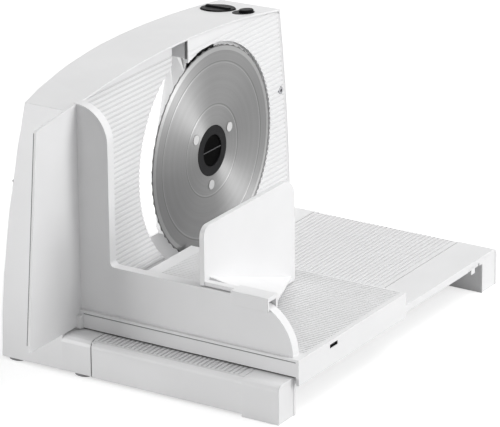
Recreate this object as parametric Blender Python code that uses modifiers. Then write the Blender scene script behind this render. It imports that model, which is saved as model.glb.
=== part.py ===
"""Electric food slicer: arched housing, round blade, stop plate, fold-out table and food carriage.

Built around the blade: X is the blade's axis, out over the table, Y is the way the carriage
feeds, and Z is up from the worktop. The whole model is moved at the end so that the middle
of its footprint is the origin. All sizes are in metres.
"""

import math

import bmesh
import bpy
from mathutils import Matrix, Vector

# Gaps
FIT_GAP = 0.0003
SLIDE_GAP = 0.0006
OVERCUT = 0.002

# Blade
BLADE_RADIUS = 0.085
BLADE_Z = 0.1130
BLADE_THICKNESS = 0.0011
BLADE_TEETH = 60
TOOTH_DEPTH = 0.0011
BEVEL_WIDTH = 0.0048
BEVEL_RADIUS = BLADE_RADIUS - BEVEL_WIDTH
RING_RADIUS = 0.0705
INNER_RING = 0.0365
RING_HEIGHT = 0.0002
HUB_RADIUS = 0.0203
HUB_BORE = 0.0130
HUB_FLANGE_RADIUS = 0.0330
HUB_FLANGE_THICKNESS = 0.0014
HUB_PROUD = 0.0002
HUB_FLOOR = -0.0018
BEVEL_DROP = 0.0005
RIVET_CIRCLE = 0.0280
RIVET_RADIUS = 0.0039
FIRST_RIVET_ANGLE = 26.0
RIVET_COUNT = 3
RIVET_HEAD = 0.0004

# Housing outline, seen along the blade's axis
HOUSING_DEPTH = 0.0563
FOOT_HEIGHT = 0.002
LEFT_FOOT_Y = -0.2106
LEFT_WAIST_Y = -0.2055
LEFT_SHOULDER_Y = -0.1955
RIGHT_FOOT_Y = 0.1165
RIGHT_WAIST_Y = 0.1120
RIGHT_SHOULDER_Y = 0.1022
WAIST_Z = 0.1150
LEFT_SHOULDER_Z = 0.2040
FRONT_SHOULDER_Z = 0.2016
BACK_SHOULDER_Z = 0.2005
FRONT_CROWN_Y = -0.0450
FRONT_CROWN_Z = 0.2149
BACK_CROWN_Y = -0.0600
BACK_CROWN_Z = 0.2117
WALL = 0.0025

# Rounding of the back, towards its upper left corner
CROWN_BACK_DEPTH = 0.0173
CROWN_BACK_START_Y = -0.0300
CROWN_BACK_SPAN = 0.1650
CROWN_BACK_POWER = 1.8

# Cooling slots at the back
VENT_COUNT = 8
VENT_Y = 0.0620
VENT_LOW_Z = 0.0600
VENT_PITCH = 0.0080
VENT_REACH = 0.0200
VENT_WIDTH = 0.0520
VENT_HEIGHT = 0.0032

# Base under the blade
BASE_TOP = 0.0308
BASE_REACH = 0.0256
BASE_TOP_WALL = 0.0035
BASE_ROUNDING = 0.0055

# Slice outlet through the housing
OUTLET_LEFT_Y = -0.1175
OUTLET_TOP = 0.1975
DRUM_RADIUS = 0.0800
DRUM_FACE_X = -0.0043
OUTLET_BACK_TOP_Y = 0.0360
OUTLET_BACK_FOOT_Y = 0.0056
GUARD_LEFT_Y = -0.0320

# Front parts
FRONT_SEAT_X = -0.0035
FRONT_WALL = 0.0030
FRONT_LIP = 0.0016
BLADE_WELL_GAP = 0.0018
BLADE_WELL_RADIUS = BLADE_RADIUS + BLADE_WELL_GAP
STOP_BAY_X = -0.0205
STOP_BAY_GAP = 0.0070
STOP_BAY_RADIUS = BLADE_RADIUS + STOP_BAY_GAP
STOP_BAY_DROP = 0.0008
STOP_PLATE_X = -0.0060
STOP_PLATE_THICKNESS = 0.0030
STOP_PLATE_GAP = 0.0087
STOP_PLATE_RADIUS = BLADE_RADIUS + STOP_PLATE_GAP
STOP_PLATE_RIGHT_Y = -0.0460
STOP_RIM_DEPTH = 0.0050
STOP_RIM_WALL = 0.0022
STOP_CLEARANCE = 0.0008
STOP_FOOT_GAP = 0.0015
GUARD_GAP = 0.0022
GUARD_RADIUS = BLADE_RADIUS + GUARD_GAP
GUARD_FACE_X = -0.0005
GUARD_SCREW_Y = 0.1035
GUARD_SCREW_Z = 0.1325
RIB_PITCH = 0.00415
RIB_HEIGHT = 0.0006
RIBS_LOW_Z = 0.0370
RIBS_HIGH_Z = 0.2050
TABLE_RIB_PITCH = 0.0040

# Drive
SPINDLE_RADIUS = 0.0040
WHEEL_X = -0.0260
WHEEL_WIDTH = 0.0080
WHEEL_TEETH = 36
WHEEL_PITCH_RADIUS = 0.0260
WHEEL_TIP = 0.0012
WHEEL_ROOT = 0.0010
WORM_CORE_RADIUS = 0.0053
WORM_THREAD_RADIUS = 0.0009
WORM_THREAD_CENTRE = 0.0060
WORM_LENGTH = 0.0260
MOTOR_RADIUS = 0.0170
MOTOR_LENGTH = 0.0560
MOTOR_FLOOR = BLADE_Z - 0.0785
MOTOR_SHAFT_RADIUS = 0.0025
BEARING_RADIUS = 0.0080
BEARING_WIDTH = 0.0060
FRONT_BEARING_X = -0.0105
REAR_BEARING_X = -0.0350
BRACKET_THICKNESS = 0.0030
BRACKET_LEGS = ((0.0540, BLADE_Z - 0.0115), (0.0540, BLADE_Z + 0.0345), (0.0080, BLADE_Z + 0.0350))
ARM_Z = BLADE_Z + 0.0175

# Thickness setting
KNOB_Y = -0.1600
KNOB_Z = 0.1120
KNOB_RADIUS = 0.0210
KNOB_LENGTH = 0.0150
KNOB_SEAT_SINK = 0.0003
KNOB_SEAT_X = KNOB_SEAT_SINK - HOUSING_DEPTH
SCREW_LEAD = 0.0180
SCREW_CORE_RADIUS = 0.0040
SCREW_RIDGE_RADIUS = 0.0010
GUIDE_Y = -0.1600
GUIDE_LOW_Z = 0.0620
GUIDE_HIGH_Z = 0.1620
GUIDE_RADIUS = 0.0040
GUIDE_BACK_X = -0.0350
CARRIER_THICKNESS = 0.0030

# Controls on top
SWITCH_X = -0.0366
SWITCH_Y = 0.0676
SWITCH_RADIUS = 0.0142
SWITCH_HEIGHT = 0.0011
SWITCH_SKIRT = 0.0060
RIDGE_HEIGHT = 0.0012
BUTTON_X = -0.0127
BUTTON_Y = 0.0675
BUTTON_HALF_WIDTH = 0.0077
BUTTON_HALF_LENGTH = 0.0115
BUTTON_PROUD = 0.0003
BUTTON_SKIRT = 0.0035
PAD_HALF_WIDTH = 0.0052
PAD_HALF_LENGTH = 0.0074
PAD_SHIFT = (0.0011, 0.0024)
PAD_HEIGHT = 0.0023
BUTTON_TRAVEL = 0.0020
CONTROL_DEPTH = 0.0130

# Table
TABLE_X = 0.0262
TABLE_END_X = 0.1920
TABLE_FRAME_X = 0.1600
TABLE_TOP = 0.0308
TABLE_LEFT_Y = LEFT_FOOT_Y
TABLE_RIGHT_Y = 0.1152
TABLE_SKIRT_Z = 0.0015
TABLE_LEG_WIDTH = 0.0236
TABLE_WALL = 0.0026
FRAME_PROUD = 0.0012
FRAME_BEAM_DEPTH = 0.0062
RIB_GROOVE_DEPTH = 0.0006
HINGE_PIN_RADIUS = 0.0015
HINGE_PIN_LENGTH = 0.0140
HINGE_PIN_Z = 0.0240

# Carriage
CARRIAGE_X = 0.0025
CARRIAGE_END_X = 0.1973
CARRIAGE_LEFT_Y = -0.1922
CARRIAGE_RIGHT_Y = -0.0360
CARRIAGE_TOP = 0.0454
CARRIAGE_WALL = 0.0024
FLANGE_DROP_Z = 0.0250
FLOOR_RIB_PITCH = 0.0030
FLANGE_SLOT_SETBACK = 0.0442
FLANGE_SLOT_LENGTH = 0.0110
FLANGE_SLOT_Z = 0.0392
FLANGE_SLOT_HEIGHT = 0.0031
PUSHER_Y = -0.1892
PUSHER_RIM = 0.0080
PUSHER_X = 0.0010
PUSHER_TALL_Z = 0.2090
PUSHER_TALL_X = 0.0305
PUSHER_CORNER = 0.0280
PUSHER_LOW_Z = 0.0845
PUSHER_INNER_CORNER = 0.0040
PUSHER_END_RADIUS = 0.0400
PUSHER_END_X = 0.1910
SHIELD_Y = -0.2578
SHIELD_TOP_Y = -0.2405
SHIELD_TOP_Z = 0.2022
SHIELD_FOOT_Z = 0.0330
EAR_WIDTH = 0.0060
EAR_DEPTH = 0.0040

# Food holder
HOLDER_X = 0.1130
HOLDER_THICKNESS = 0.0038
HOLDER_Y = -0.0600
HOLDER_TOP = 0.1310
HOLDER_FOOT_GAP = 0.0012
HOLDER_NEAR_CORNER = 0.0080
HOLDER_FAR_CORNER = 0.0150
SADDLE_X = 0.1390
SADDLE_END_X = 0.1710
SADDLE_WALL = 0.0022
SADDLE_TOP = 0.0034
SADDLE_FLAP = 0.0076
BRACE_TOP = 0.0039
BRACE_DROP = 0.0055
SPIKE_HEIGHT = 0.0030
SPIKE_RADIUS = 0.0022
SPIKE_PITCH = 0.0200

# Small parts
FOOT_RADIUS = 0.0085
FOOT_X = (-0.0457, 0.0150)
FOOT_CLIP_RADIUS = 0.0040
SCREW_HEAD_RADIUS = 0.0030
SCREW_SHANK_RADIUS = 0.0016
SCREW_LENGTH = 0.0100
SCREW_HEAD_HEIGHT = 0.0012
SCREW_SINK = 0.0004
BOSS_RADIUS = 0.0045
BOSS_GAP = 0.0018
REAR_SCREWS = ((0.1045, 0.0087), (0.0915, 0.1880), (-0.2000, 0.0087), (-0.1870, 0.1900), (-0.0560, 0.2053))
GLAND_Y = 0.0850
GLAND_Z = 0.0200
GLAND_RADIUS = 0.0060
GLAND_BORE = 0.0032

ROUND_STEPS = 6

scene = bpy.context.scene
for old in list(bpy.data.objects):
    bpy.data.objects.remove(old, do_unlink=True)

parts = bpy.data.collections.new("food_slicer")
cutters = bpy.data.collections.new("food_slicer_cutters")
scene.collection.children.link(parts)
scene.collection.children.link(cutters)


# Materials

def finish(name, colour, roughness, metallic=0.0):
    """A plain surface with the colour, roughness and metallic value of the real one."""
    material = bpy.data.materials.new(name)
    material.use_nodes = True
    shader = material.node_tree.nodes["Principled BSDF"]
    shader.inputs["Base Color"].default_value = (*colour, 1.0)
    shader.inputs["Roughness"].default_value = roughness
    shader.inputs["Metallic"].default_value = metallic
    return material


WHITE = finish("white_plastic", (0.80, 0.80, 0.80), 0.45)
BLACK = finish("black_plastic", (0.02, 0.02, 0.02), 0.40)
GREY = finish("grey_plastic", (0.45, 0.45, 0.46), 0.50)
STEEL = finish("brushed_steel", (0.62, 0.62, 0.62), 0.30, 1.0)
BRIGHT = finish("bright_steel", (0.75, 0.75, 0.75), 0.20, 1.0)
BRASS = finish("sintered_brass", (0.70, 0.55, 0.28), 0.40, 1.0)
RUBBER = finish("rubber", (0.08, 0.08, 0.08), 0.85)
NYLON = finish("gear_nylon", (0.75, 0.74, 0.68), 0.50)


# Outlines

def arc(centre, radius, start, end, steps):
    """Points on a circle between two angles in degrees, both ends included."""
    points = []
    for i in range(steps + 1):
        angle = math.radians(start + (end - start) * i / steps)
        points.append((centre[0] + radius * math.cos(angle), centre[1] + radius * math.sin(angle)))
    return points


def arc_through(first, middle, last, steps):
    """Points on the circle through three points, from the first to the last."""
    ax, ay = first
    bx, by = middle
    cx, cy = last
    turn = 2 * (ax * (by - cy) + bx * (cy - ay) + cx * (ay - by))
    a2, b2, c2 = ax * ax + ay * ay, bx * bx + by * by, cx * cx + cy * cy
    ox = (a2 * (by - cy) + b2 * (cy - ay) + c2 * (ay - by)) / turn
    oy = (a2 * (cx - bx) + b2 * (ax - cx) + c2 * (bx - ax)) / turn
    radius = math.hypot(ax - ox, ay - oy)
    start = math.degrees(math.atan2(ay - oy, ax - ox))
    mid = math.degrees(math.atan2(by - oy, bx - ox))
    end = math.degrees(math.atan2(cy - oy, cx - ox))
    sweep = (end - start) % 360
    if (mid - start) % 360 > sweep:
        sweep -= 360
    return arc((ox, oy), radius, start, start + sweep, steps)


def rounded(corners, steps=ROUND_STEPS):
    """An outline from corners (a, b, radius), each rounded to its radius."""
    points = []
    for i, (a, b, radius) in enumerate(corners):
        if radius == 0:
            points.append((a, b))
            continue
        here = Vector((a, b))
        before = (Vector(corners[i - 1][:2]) - here).normalized()
        after = (Vector(corners[(i + 1) % len(corners)][:2]) - here).normalized()
        half = before.angle(after) / 2
        centre = here + (before + after).normalized() * radius / math.sin(half)
        tangent_in = here + before * radius / math.tan(half)
        tangent_out = here + after * radius / math.tan(half)
        middle = centre + (here - centre).normalized() * radius
        points += arc_through(tangent_in, middle, tangent_out, steps)
    return points


def box_outline(low_a, high_a, low_b, high_b):
    return [(low_a, low_b), (high_a, low_b), (high_a, high_b), (low_a, high_b)]


def oval(half_a, half_b, steps, centre=(0.0, 0.0)):
    angles = [2 * math.pi * i / steps for i in range(steps)]
    return [(centre[0] + half_a * math.cos(t), centre[1] + half_b * math.sin(t)) for t in angles]


def on_arc_z(radius, y):
    """Height above the blade's centre line of a circle round the blade, at a given y."""
    return math.sqrt(max(radius * radius - y * y, 0.0))


# Solids

FACING = {
    "X": Matrix(((0, 0, 1), (1, 0, 0), (0, 1, 0))),
    "Y": Matrix(((1, 0, 0), (0, 0, -1), (0, 1, 0))),
    "Z": Matrix.Identity(3),
}


def add_object(name, mesh, material=None, collection=None):
    piece = bpy.data.objects.new(name, mesh)
    (collection or parts).objects.link(piece)
    if material:
        mesh.materials.clear()
        mesh.materials.append(material)
    return piece


def close_mesh(mesh):
    """Weld loose caps, merge flat neighbouring faces and point every face outwards."""
    bm = bmesh.new()
    bm.from_mesh(mesh)
    bmesh.ops.remove_doubles(bm, verts=bm.verts, dist=1e-7)
    bmesh.ops.dissolve_limit(bm, angle_limit=1e-4, verts=bm.verts, edges=bm.edges)
    bmesh.ops.recalc_face_normals(bm, faces=bm.faces)
    bm.to_mesh(mesh)
    bm.free()


def flat_piece(name, loops, facing, low, high, material=None):
    """Outlines of (a, b) points made into a plate from low to high along the facing axis.

    The points are (y, z) for X, (x, z) for Y and (x, y) for Z.
    """
    curve = bpy.data.curves.new(name, "CURVE")
    curve.dimensions = "2D"
    curve.fill_mode = "BOTH"
    curve.extrude = (high - low) / 2
    for loop in loops:
        spline = curve.splines.new("POLY")
        spline.points.add(len(loop) - 1)
        for point, (a, b) in zip(spline.points, loop):
            point.co = (a, b, 0.0, 1.0)
        spline.use_cyclic_u = True
    flat = add_object(name, curve)
    middle = Vector((0, 0, 0))
    middle["XYZ".index(facing)] = (low + high) / 2
    flat.matrix_world = Matrix.Translation(middle) @ FACING[facing].to_4x4()
    bpy.context.view_layer.update()
    graph = bpy.context.evaluated_depsgraph_get()
    mesh = bpy.data.meshes.new_from_object(flat.evaluated_get(graph))
    mesh.transform(flat.matrix_world)
    bpy.data.objects.remove(flat, do_unlink=True)
    close_mesh(mesh)
    return add_object(name, mesh, material)


def box(name, low, high, material=None):
    """A block between two opposite corners."""
    bm = bmesh.new()
    size = Vector(high) - Vector(low)
    centre = (Vector(high) + Vector(low)) / 2
    bmesh.ops.create_cube(bm, size=1.0, matrix=Matrix.Translation(centre) @ Matrix.Diagonal((*size, 1.0)))
    mesh = bpy.data.meshes.new(name)
    bm.to_mesh(mesh)
    bm.free()
    return add_object(name, mesh, material)


def rods(name, radius, ends, material=None, segments=14, far_radius=None):
    """Straight round bars between pairs of points, all in one mesh."""
    bm = bmesh.new()
    for start, end in ends:
        start, end = Vector(start), Vector(end)
        along = end - start
        turn = along.to_track_quat("Z", "Y").to_matrix().to_4x4()
        bmesh.ops.create_cone(
            bm, cap_ends=True, segments=segments, radius1=radius,
            radius2=radius if far_radius is None else far_radius, depth=along.length,
            matrix=Matrix.Translation((start + end) / 2) @ turn)
    mesh = bpy.data.meshes.new(name)
    bm.to_mesh(mesh)
    bm.free()
    return add_object(name, mesh, material)


def turned(name, profile, centre, axis, material=None, segments=32):
    """A profile of (radius, distance along the axis) points turned round the axis."""
    rising = sum((a[0] + b[0]) * (b[1] - a[1]) for a, b in zip(profile, profile[1:] + profile[:1]))
    if rising > 0:
        profile = profile[::-1]
    mesh = bpy.data.meshes.new(name)
    closed = min(p[0] for p in profile) > 1e-6
    edges = [(i, i + 1) for i in range(len(profile) - 1)]
    if closed:
        edges.append((len(profile) - 1, 0))
    mesh.from_pydata([(r, 0.0, z) for r, z in profile], edges, [])
    piece = add_object(name, mesh, material)
    screw = piece.modifiers.new("turn", "SCREW")
    screw.steps = screw.render_steps = segments
    screw.use_merge_vertices = True
    screw.merge_threshold = 1e-6
    turn = Matrix.Rotation(math.pi / 2, 4, "Y") if axis == "X" else Matrix.Identity(4)
    piece.matrix_world = Matrix.Translation(centre) @ turn
    return piece


def wire(name, points, radius, material=None):
    """A bar along a row of points, as a closed mesh."""
    curve = bpy.data.curves.new(name, "CURVE")
    curve.dimensions = "3D"
    curve.bevel_depth = radius
    curve.bevel_resolution = 0
    curve.use_fill_caps = True
    spline = curve.splines.new("POLY")
    spline.points.add(len(points) - 1)
    for point, place in zip(spline.points, points):
        point.co = (*place, 1.0)
    bent = add_object(name, curve)
    bpy.context.view_layer.update()
    graph = bpy.context.evaluated_depsgraph_get()
    mesh = bpy.data.meshes.new_from_object(bent.evaluated_get(graph))
    bpy.data.objects.remove(bent, do_unlink=True)
    close_mesh(mesh)
    return add_object(name, mesh, material)


def boolean(piece, tool, operation):
    change = piece.modifiers.new(operation.lower() + "_" + tool.name, "BOOLEAN")
    change.operation = operation
    change.object = tool
    change.solver = "EXACT"
    if tool.name in parts.objects:
        parts.objects.unlink(tool)
        cutters.objects.link(tool)
    tool.hide_render = True
    tool.display_type = "WIRE"


def cut(piece, *tools):
    for tool in tools:
        boolean(piece, tool, "DIFFERENCE")


def join(piece, *tools):
    for tool in tools:
        boolean(piece, tool, "UNION")


def keep_inside(piece, tool):
    boolean(piece, tool, "INTERSECT")


def round_edges(piece, width, segments=2, angle=50):
    bevel = piece.modifiers.new("rounding", "BEVEL")
    bevel.width = width
    bevel.segments = segments
    bevel.limit_method = "ANGLE"
    bevel.angle_limit = math.radians(angle)
    bevel.harden_normals = False


def tidy_faces(piece):
    """Merge the faces that lie in one plane and were left apart by cuts."""
    merge = piece.modifiers.new("tidy", "DECIMATE")
    merge.decimate_type = "DISSOLVE"
    merge.angle_limit = math.radians(0.02)


def pivot(name, place, parent=None):
    """An empty on a joint's axis that carries the pieces which move on it."""
    empty = bpy.data.objects.new(name, None)
    empty.empty_display_size = 0.01
    empty.location = place
    parts.objects.link(empty)
    bpy.context.view_layer.update()
    if parent:
        carry(parent, empty)
    return empty


def carry(parent, *pieces):
    """Parent pieces to a pivot without moving them."""
    for piece in pieces:
        piece.parent = parent
        piece.matrix_parent_inverse = parent.matrix_world.inverted()
    bpy.context.view_layer.update()


# Housing

def side_points(inset, steps, depth=0.0, drop=0.0):
    """Left side, top and right side of the housing, as three arcs of (y, z) points.

    The top falls from the front face, at depth 0, to the back, at depth 1. A drop lowers
    the top on its own.
    """
    foot = FOOT_HEIGHT + inset
    lower = inset + drop
    crown_y = FRONT_CROWN_Y + (BACK_CROWN_Y - FRONT_CROWN_Y) * depth
    crown_z = FRONT_CROWN_Z + (BACK_CROWN_Z - FRONT_CROWN_Z) * depth
    shoulder_z = FRONT_SHOULDER_Z + (BACK_SHOULDER_Z - FRONT_SHOULDER_Z) * depth
    left_top = (LEFT_SHOULDER_Y + inset, LEFT_SHOULDER_Z - lower)
    right_top = (RIGHT_SHOULDER_Y - inset, shoulder_z - lower)
    left = arc_through((LEFT_FOOT_Y + inset, foot), (LEFT_WAIST_Y + inset, WAIST_Z), left_top, steps)
    top = arc_through(left_top, (crown_y, crown_z - lower), right_top, 2 * steps)
    right = arc_through(right_top, (RIGHT_WAIST_Y - inset, WAIST_Z), (RIGHT_FOOT_Y - inset, foot), steps)
    return left, top, right


def housing_outline(inset, depth=0.0):
    left, top, right = side_points(inset, ROUND_STEPS, depth)
    return left + top[1:-1] + right


def arched_block(name, inset, low_x, high_x, material=None):
    """A block with the housing's outline, drawn in by an inset, whose top falls to the back."""
    bm = bmesh.new()
    far, near = [[bm.verts.new((x, y, z)) for y, z in housing_outline(inset, -x / HOUSING_DEPTH)]
                 for x in (low_x, high_x)]
    for i in range(len(near)):
        j = (i + 1) % len(near)
        bm.faces.new((near[i], near[j], far[j]))
        bm.faces.new((near[i], far[j], far[i]))
    bm.faces.new(near)
    bm.faces.new(far)
    mesh = bpy.data.meshes.new(name)
    bm.to_mesh(mesh)
    bm.free()
    close_mesh(mesh)
    return add_object(name, mesh, material)


def back_x(y, z):
    """The crowned back: flat at the right and foot, drawn forward at the upper left."""
    sideways = max(CROWN_BACK_START_Y - y, 0.0) / CROWN_BACK_SPAN
    upward = max(z, 0.0) / LEFT_SHOULDER_Z
    return -HOUSING_DEPTH + CROWN_BACK_DEPTH * sideways ** 2 * upward ** CROWN_BACK_POWER


def crowned_block(name, offset):
    """A block whose back face follows the housing's crowned back, moved in by an offset."""
    low_y, high_y, low_z, high_z = -0.232, 0.132, -0.010, 0.230
    cells_y, cells_z = 9, 5
    bm = bmesh.new()
    bmesh.ops.create_grid(bm, x_segments=cells_y, y_segments=cells_z, size=0.5)
    face_side = bmesh.ops.extrude_face_region(bm, geom=bm.faces[:])
    front = [v for v in face_side["geom"] if isinstance(v, bmesh.types.BMVert)]
    front_x = BASE_REACH + OVERCUT
    front_set = set(front)
    for vert in bm.verts:
        y = low_y + (vert.co.x + 0.5) * (high_y - low_y)
        z = low_z + (vert.co.y + 0.5) * (high_z - low_z)
        x = front_x if vert in front_set else back_x(y, z) + offset
        vert.co = (x, y, z)
    bmesh.ops.recalc_face_normals(bm, faces=bm.faces)
    mesh = bpy.data.meshes.new(name)
    bm.to_mesh(mesh)
    bm.free()
    return add_object(name, mesh)


def outlet_cutter(name, wall):
    """The way out for the slices: round at the blade, slanting to an upright edge at the back."""
    steps = 12
    radius = DRUM_RADIUS - 2 * wall
    left = OUTLET_LEFT_Y - wall
    foot, top = BASE_TOP + FIT_GAP - wall, OUTLET_TOP + FIT_GAP + wall
    corner_y = GUARD_LEFT_Y + FIT_GAP + 2 * wall
    start = math.degrees(math.atan2(on_arc_z(radius, corner_y), corner_y))
    front = arc((0.0, BLADE_Z), radius, start, 270, steps)
    slant_top = OUTLET_BACK_TOP_Y + 2 * wall
    slant_foot = OUTLET_BACK_FOOT_Y + 2 * wall
    back = []
    for _, z in front:
        share = 0.02 + 0.96 * (front[0][1] - z) / (front[0][1] - front[-1][1])
        back.append((slant_top + (slant_foot - slant_top) * share, top + (foot - top) * share))
    front_loop = [(left, top), (corner_y, top)] + front + [(0.0, foot), (left, foot)]
    back_loop = [(left, top), (slant_top, top)] + back + [(slant_foot, foot), (left, foot)]
    sections = [(OVERCUT, front_loop), (DRUM_FACE_X - wall, front_loop), (-HOUSING_DEPTH - 3 * OVERCUT, back_loop)]
    bm = bmesh.new()
    rings = [[bm.verts.new((x, y, z)) for y, z in loop] for x, loop in sections]
    for near, far in zip(rings, rings[1:]):
        for i in range(len(near)):
            j = (i + 1) % len(near)
            bm.faces.new((near[i], near[j], far[j]))
            bm.faces.new((near[i], far[j], far[i]))
    bm.faces.new(rings[0])
    bm.faces.new(rings[-1])
    bmesh.ops.recalc_face_normals(bm, faces=bm.faces)
    mesh = bpy.data.meshes.new(name)
    bm.to_mesh(mesh)
    bm.free()
    return add_object(name, mesh)


def stop_bay_outline(inset, radius, right_y, foot, step_z, drop=0.0):
    """The left part of the front, bounded by the blade's circle, as (y, z) points."""
    left, top, _ = side_points(inset, ROUND_STEPS, 0.0, drop)
    left = [p for p in left if p[1] > foot + 0.002]
    foot_y = left[0][0]
    crown = [p for p in top if p[0] < right_y - 0.001]
    crown.append((right_y, crown_height(right_y, inset, 0.0, drop)))
    start = math.degrees(math.atan2(step_z - BLADE_Z, -math.sqrt(radius ** 2 - (step_z - BLADE_Z) ** 2)))
    end = 360 + math.degrees(math.atan2(foot - BLADE_Z, -math.sqrt(radius ** 2 - (foot - BLADE_Z) ** 2)))
    rim = arc((0.0, BLADE_Z), radius, start, end, 18)
    step = [] if abs(rim[0][0] - right_y) < 1e-4 else [(right_y, step_z)]
    return [(foot_y, foot)] + left + crown[1:] + step + rim


def crown_height(y, inset, depth=0.0, drop=0.0):
    """Height of the arch's top surface at y, moved down by an inset."""
    _, top, _ = side_points(inset, ROUND_STEPS, depth, drop)
    for near, far in zip(top, top[1:]):
        if near[0] <= y <= far[0]:
            share = (y - near[0]) / (far[0] - near[0])
            return near[1] + (far[1] - near[1]) * share
    return top[-1][1]


def top_frame(x, y):
    """Place and tilt of the housing's top surface at x and y, with Z straight out of it."""
    reach = 0.010
    depth = -x / HOUSING_DEPTH
    rise_x = crown_height(y, 0.0, -(x + reach) / HOUSING_DEPTH) - crown_height(y, 0.0, -(x - reach) / HOUSING_DEPTH)
    rise_y = crown_height(y + reach, 0.0, depth) - crown_height(y - reach, 0.0, depth)
    along = Vector((2 * reach, 0.0, rise_x)).normalized()
    out = along.cross(Vector((0.0, 2 * reach, rise_y))).normalized()
    turn = Matrix((along, out.cross(along), out)).transposed().to_4x4()
    return Matrix.Translation((x, y, crown_height(y, 0.0, depth))) @ turn


def make_housing():
    housing = arched_block("housing", 0.0, -HOUSING_DEPTH - OVERCUT, 0.0, WHITE)
    keep_inside(housing, crowned_block("back_crown", 0.0))
    base = flat_piece("base_block", [rounded([
        (LEFT_FOOT_Y, FOOT_HEIGHT + 0.0002, 0), (RIGHT_FOOT_Y, FOOT_HEIGHT + 0.0002, 0),
        (RIGHT_FOOT_Y, BASE_TOP, BASE_ROUNDING), (LEFT_FOOT_Y, BASE_TOP, BASE_ROUNDING)], 3)],
        "X", -OVERCUT / 2, BASE_REACH)
    join(housing, base)

    hollow = arched_block("hollow", WALL, -HOUSING_DEPTH - 2 * OVERCUT, FRONT_SEAT_X - FRONT_WALL)
    cut(hollow, outlet_cutter("outlet_walls", WALL))
    cut(hollow, flat_piece("bay_walls", [stop_bay_outline(
        -OVERCUT, STOP_BAY_RADIUS - WALL, GUARD_LEFT_Y + WALL, BASE_TOP - WALL, OUTLET_TOP)],
        "X", STOP_BAY_X - WALL, OVERCUT))
    cut(hollow, rods("front_bearing_boss", BEARING_RADIUS + 0.003, [
        ((FRONT_BEARING_X - BEARING_WIDTH / 2, 0, BLADE_Z), (OVERCUT, 0, BLADE_Z))], segments=24))
    cut(hollow, rear_screw_bosses())
    cut(hollow, rods("guide_bosses", GUIDE_RADIUS + 0.003, guide_line(STOP_BAY_X - WALL - 0.003, OVERCUT),
                     segments=12))
    cut(hollow, rods("guard_screw_boss", BOSS_RADIUS, [
        ((-0.0150, GUARD_SCREW_Y, GUARD_SCREW_Z), (OVERCUT, GUARD_SCREW_Y, GUARD_SCREW_Z))]))
    cut(housing, hollow)
    cut(housing, box("base_hollow", (
        FRONT_SEAT_X - FRONT_WALL - OVERCUT, LEFT_FOOT_Y + WALL + 0.0005, FOOT_HEIGHT + WALL + 0.0003), (
        BASE_REACH - WALL, RIGHT_FOOT_Y - WALL - 0.0005, BASE_TOP - BASE_TOP_WALL)))
    cut(housing, outlet_cutter("outlet", 0.0))
    cut(housing, flat_piece("front_seat", [front_seat_outline()], "X", FRONT_SEAT_X, OVERCUT))
    cut(housing, flat_piece("stop_bay", [stop_bay_outline(
        WALL, STOP_BAY_RADIUS, GUARD_LEFT_Y, BASE_TOP + 2 * FIT_GAP, OUTLET_TOP, STOP_BAY_DROP)],
        "X", STOP_BAY_X, OVERCUT))
    cut(housing, rods("blade_well", BLADE_WELL_RADIUS, [
        ((FRONT_SEAT_X, 0, BLADE_Z), (OVERCUT, 0, BLADE_Z))], segments=48))
    cut(housing, rods("front_bearing_bore", BEARING_RADIUS + FIT_GAP, [
        ((-HOUSING_DEPTH, 0, BLADE_Z), (OVERCUT, 0, BLADE_Z))], segments=24))
    cut(housing, rods("guide_bores", GUIDE_RADIUS + FIT_GAP, guide_line(-0.040, OVERCUT)))
    cut(housing, *control_openings())
    return housing


def front_seat_outline():
    """Everything inside the thin front lip, above the base."""
    points = [p for p in housing_outline(FRONT_LIP) if p[1] > BASE_TOP + 0.002]
    return [(points[0][0], BASE_TOP)] + points + [(points[-1][0], BASE_TOP)]


def control_openings():
    """A round and an oval hole in the top, each deep enough for its control's skirt."""
    switch = rods("switch_opening", SWITCH_RADIUS + FIT_GAP, [
        ((0, 0, -SWITCH_SKIRT - SLIDE_GAP), (0, 0, 2 * OVERCUT))], segments=32)
    switch.matrix_world = top_frame(SWITCH_X, SWITCH_Y)
    button = flat_piece("button_opening", [oval(BUTTON_HALF_WIDTH + FIT_GAP, BUTTON_HALF_LENGTH + FIT_GAP, 24)],
                        "Z", -BUTTON_SKIRT - BUTTON_TRAVEL - SLIDE_GAP, 2 * OVERCUT)
    button.matrix_world = top_frame(BUTTON_X, BUTTON_Y)
    return switch, button


def make_rear_cover():
    cover = arched_block("rear_cover", WALL + FIT_GAP, -HOUSING_DEPTH - OVERCUT, -0.020, WHITE)
    keep_inside(cover, crowned_block("cover_outer", 0.0))
    cut(cover, crowned_block("cover_inner", WALL))
    cut(cover, outlet_cutter("cover_outlet", WALL + 6 * FIT_GAP))
    seat = rods("knob_seat", KNOB_RADIUS + 0.002, [
        ((KNOB_SEAT_X + FIT_GAP, KNOB_Y, KNOB_Z), (KNOB_SEAT_X + 0.007, KNOB_Y, KNOB_Z))], segments=32)
    join(cover, seat)
    cut(cover, rods("knob_bore", SCREW_CORE_RADIUS + 0.0015, [
        ((-HOUSING_DEPTH - 0.01, KNOB_Y, KNOB_Z), (-0.030, KNOB_Y, KNOB_Z))], segments=24))
    cut(cover, vent_slots())
    cut(cover, rods("gland_bore", GLAND_RADIUS + FIT_GAP, [
        ((-HOUSING_DEPTH - 0.01, GLAND_Y, GLAND_Z), (-0.040, GLAND_Y, GLAND_Z))], segments=20))
    return cover


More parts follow.
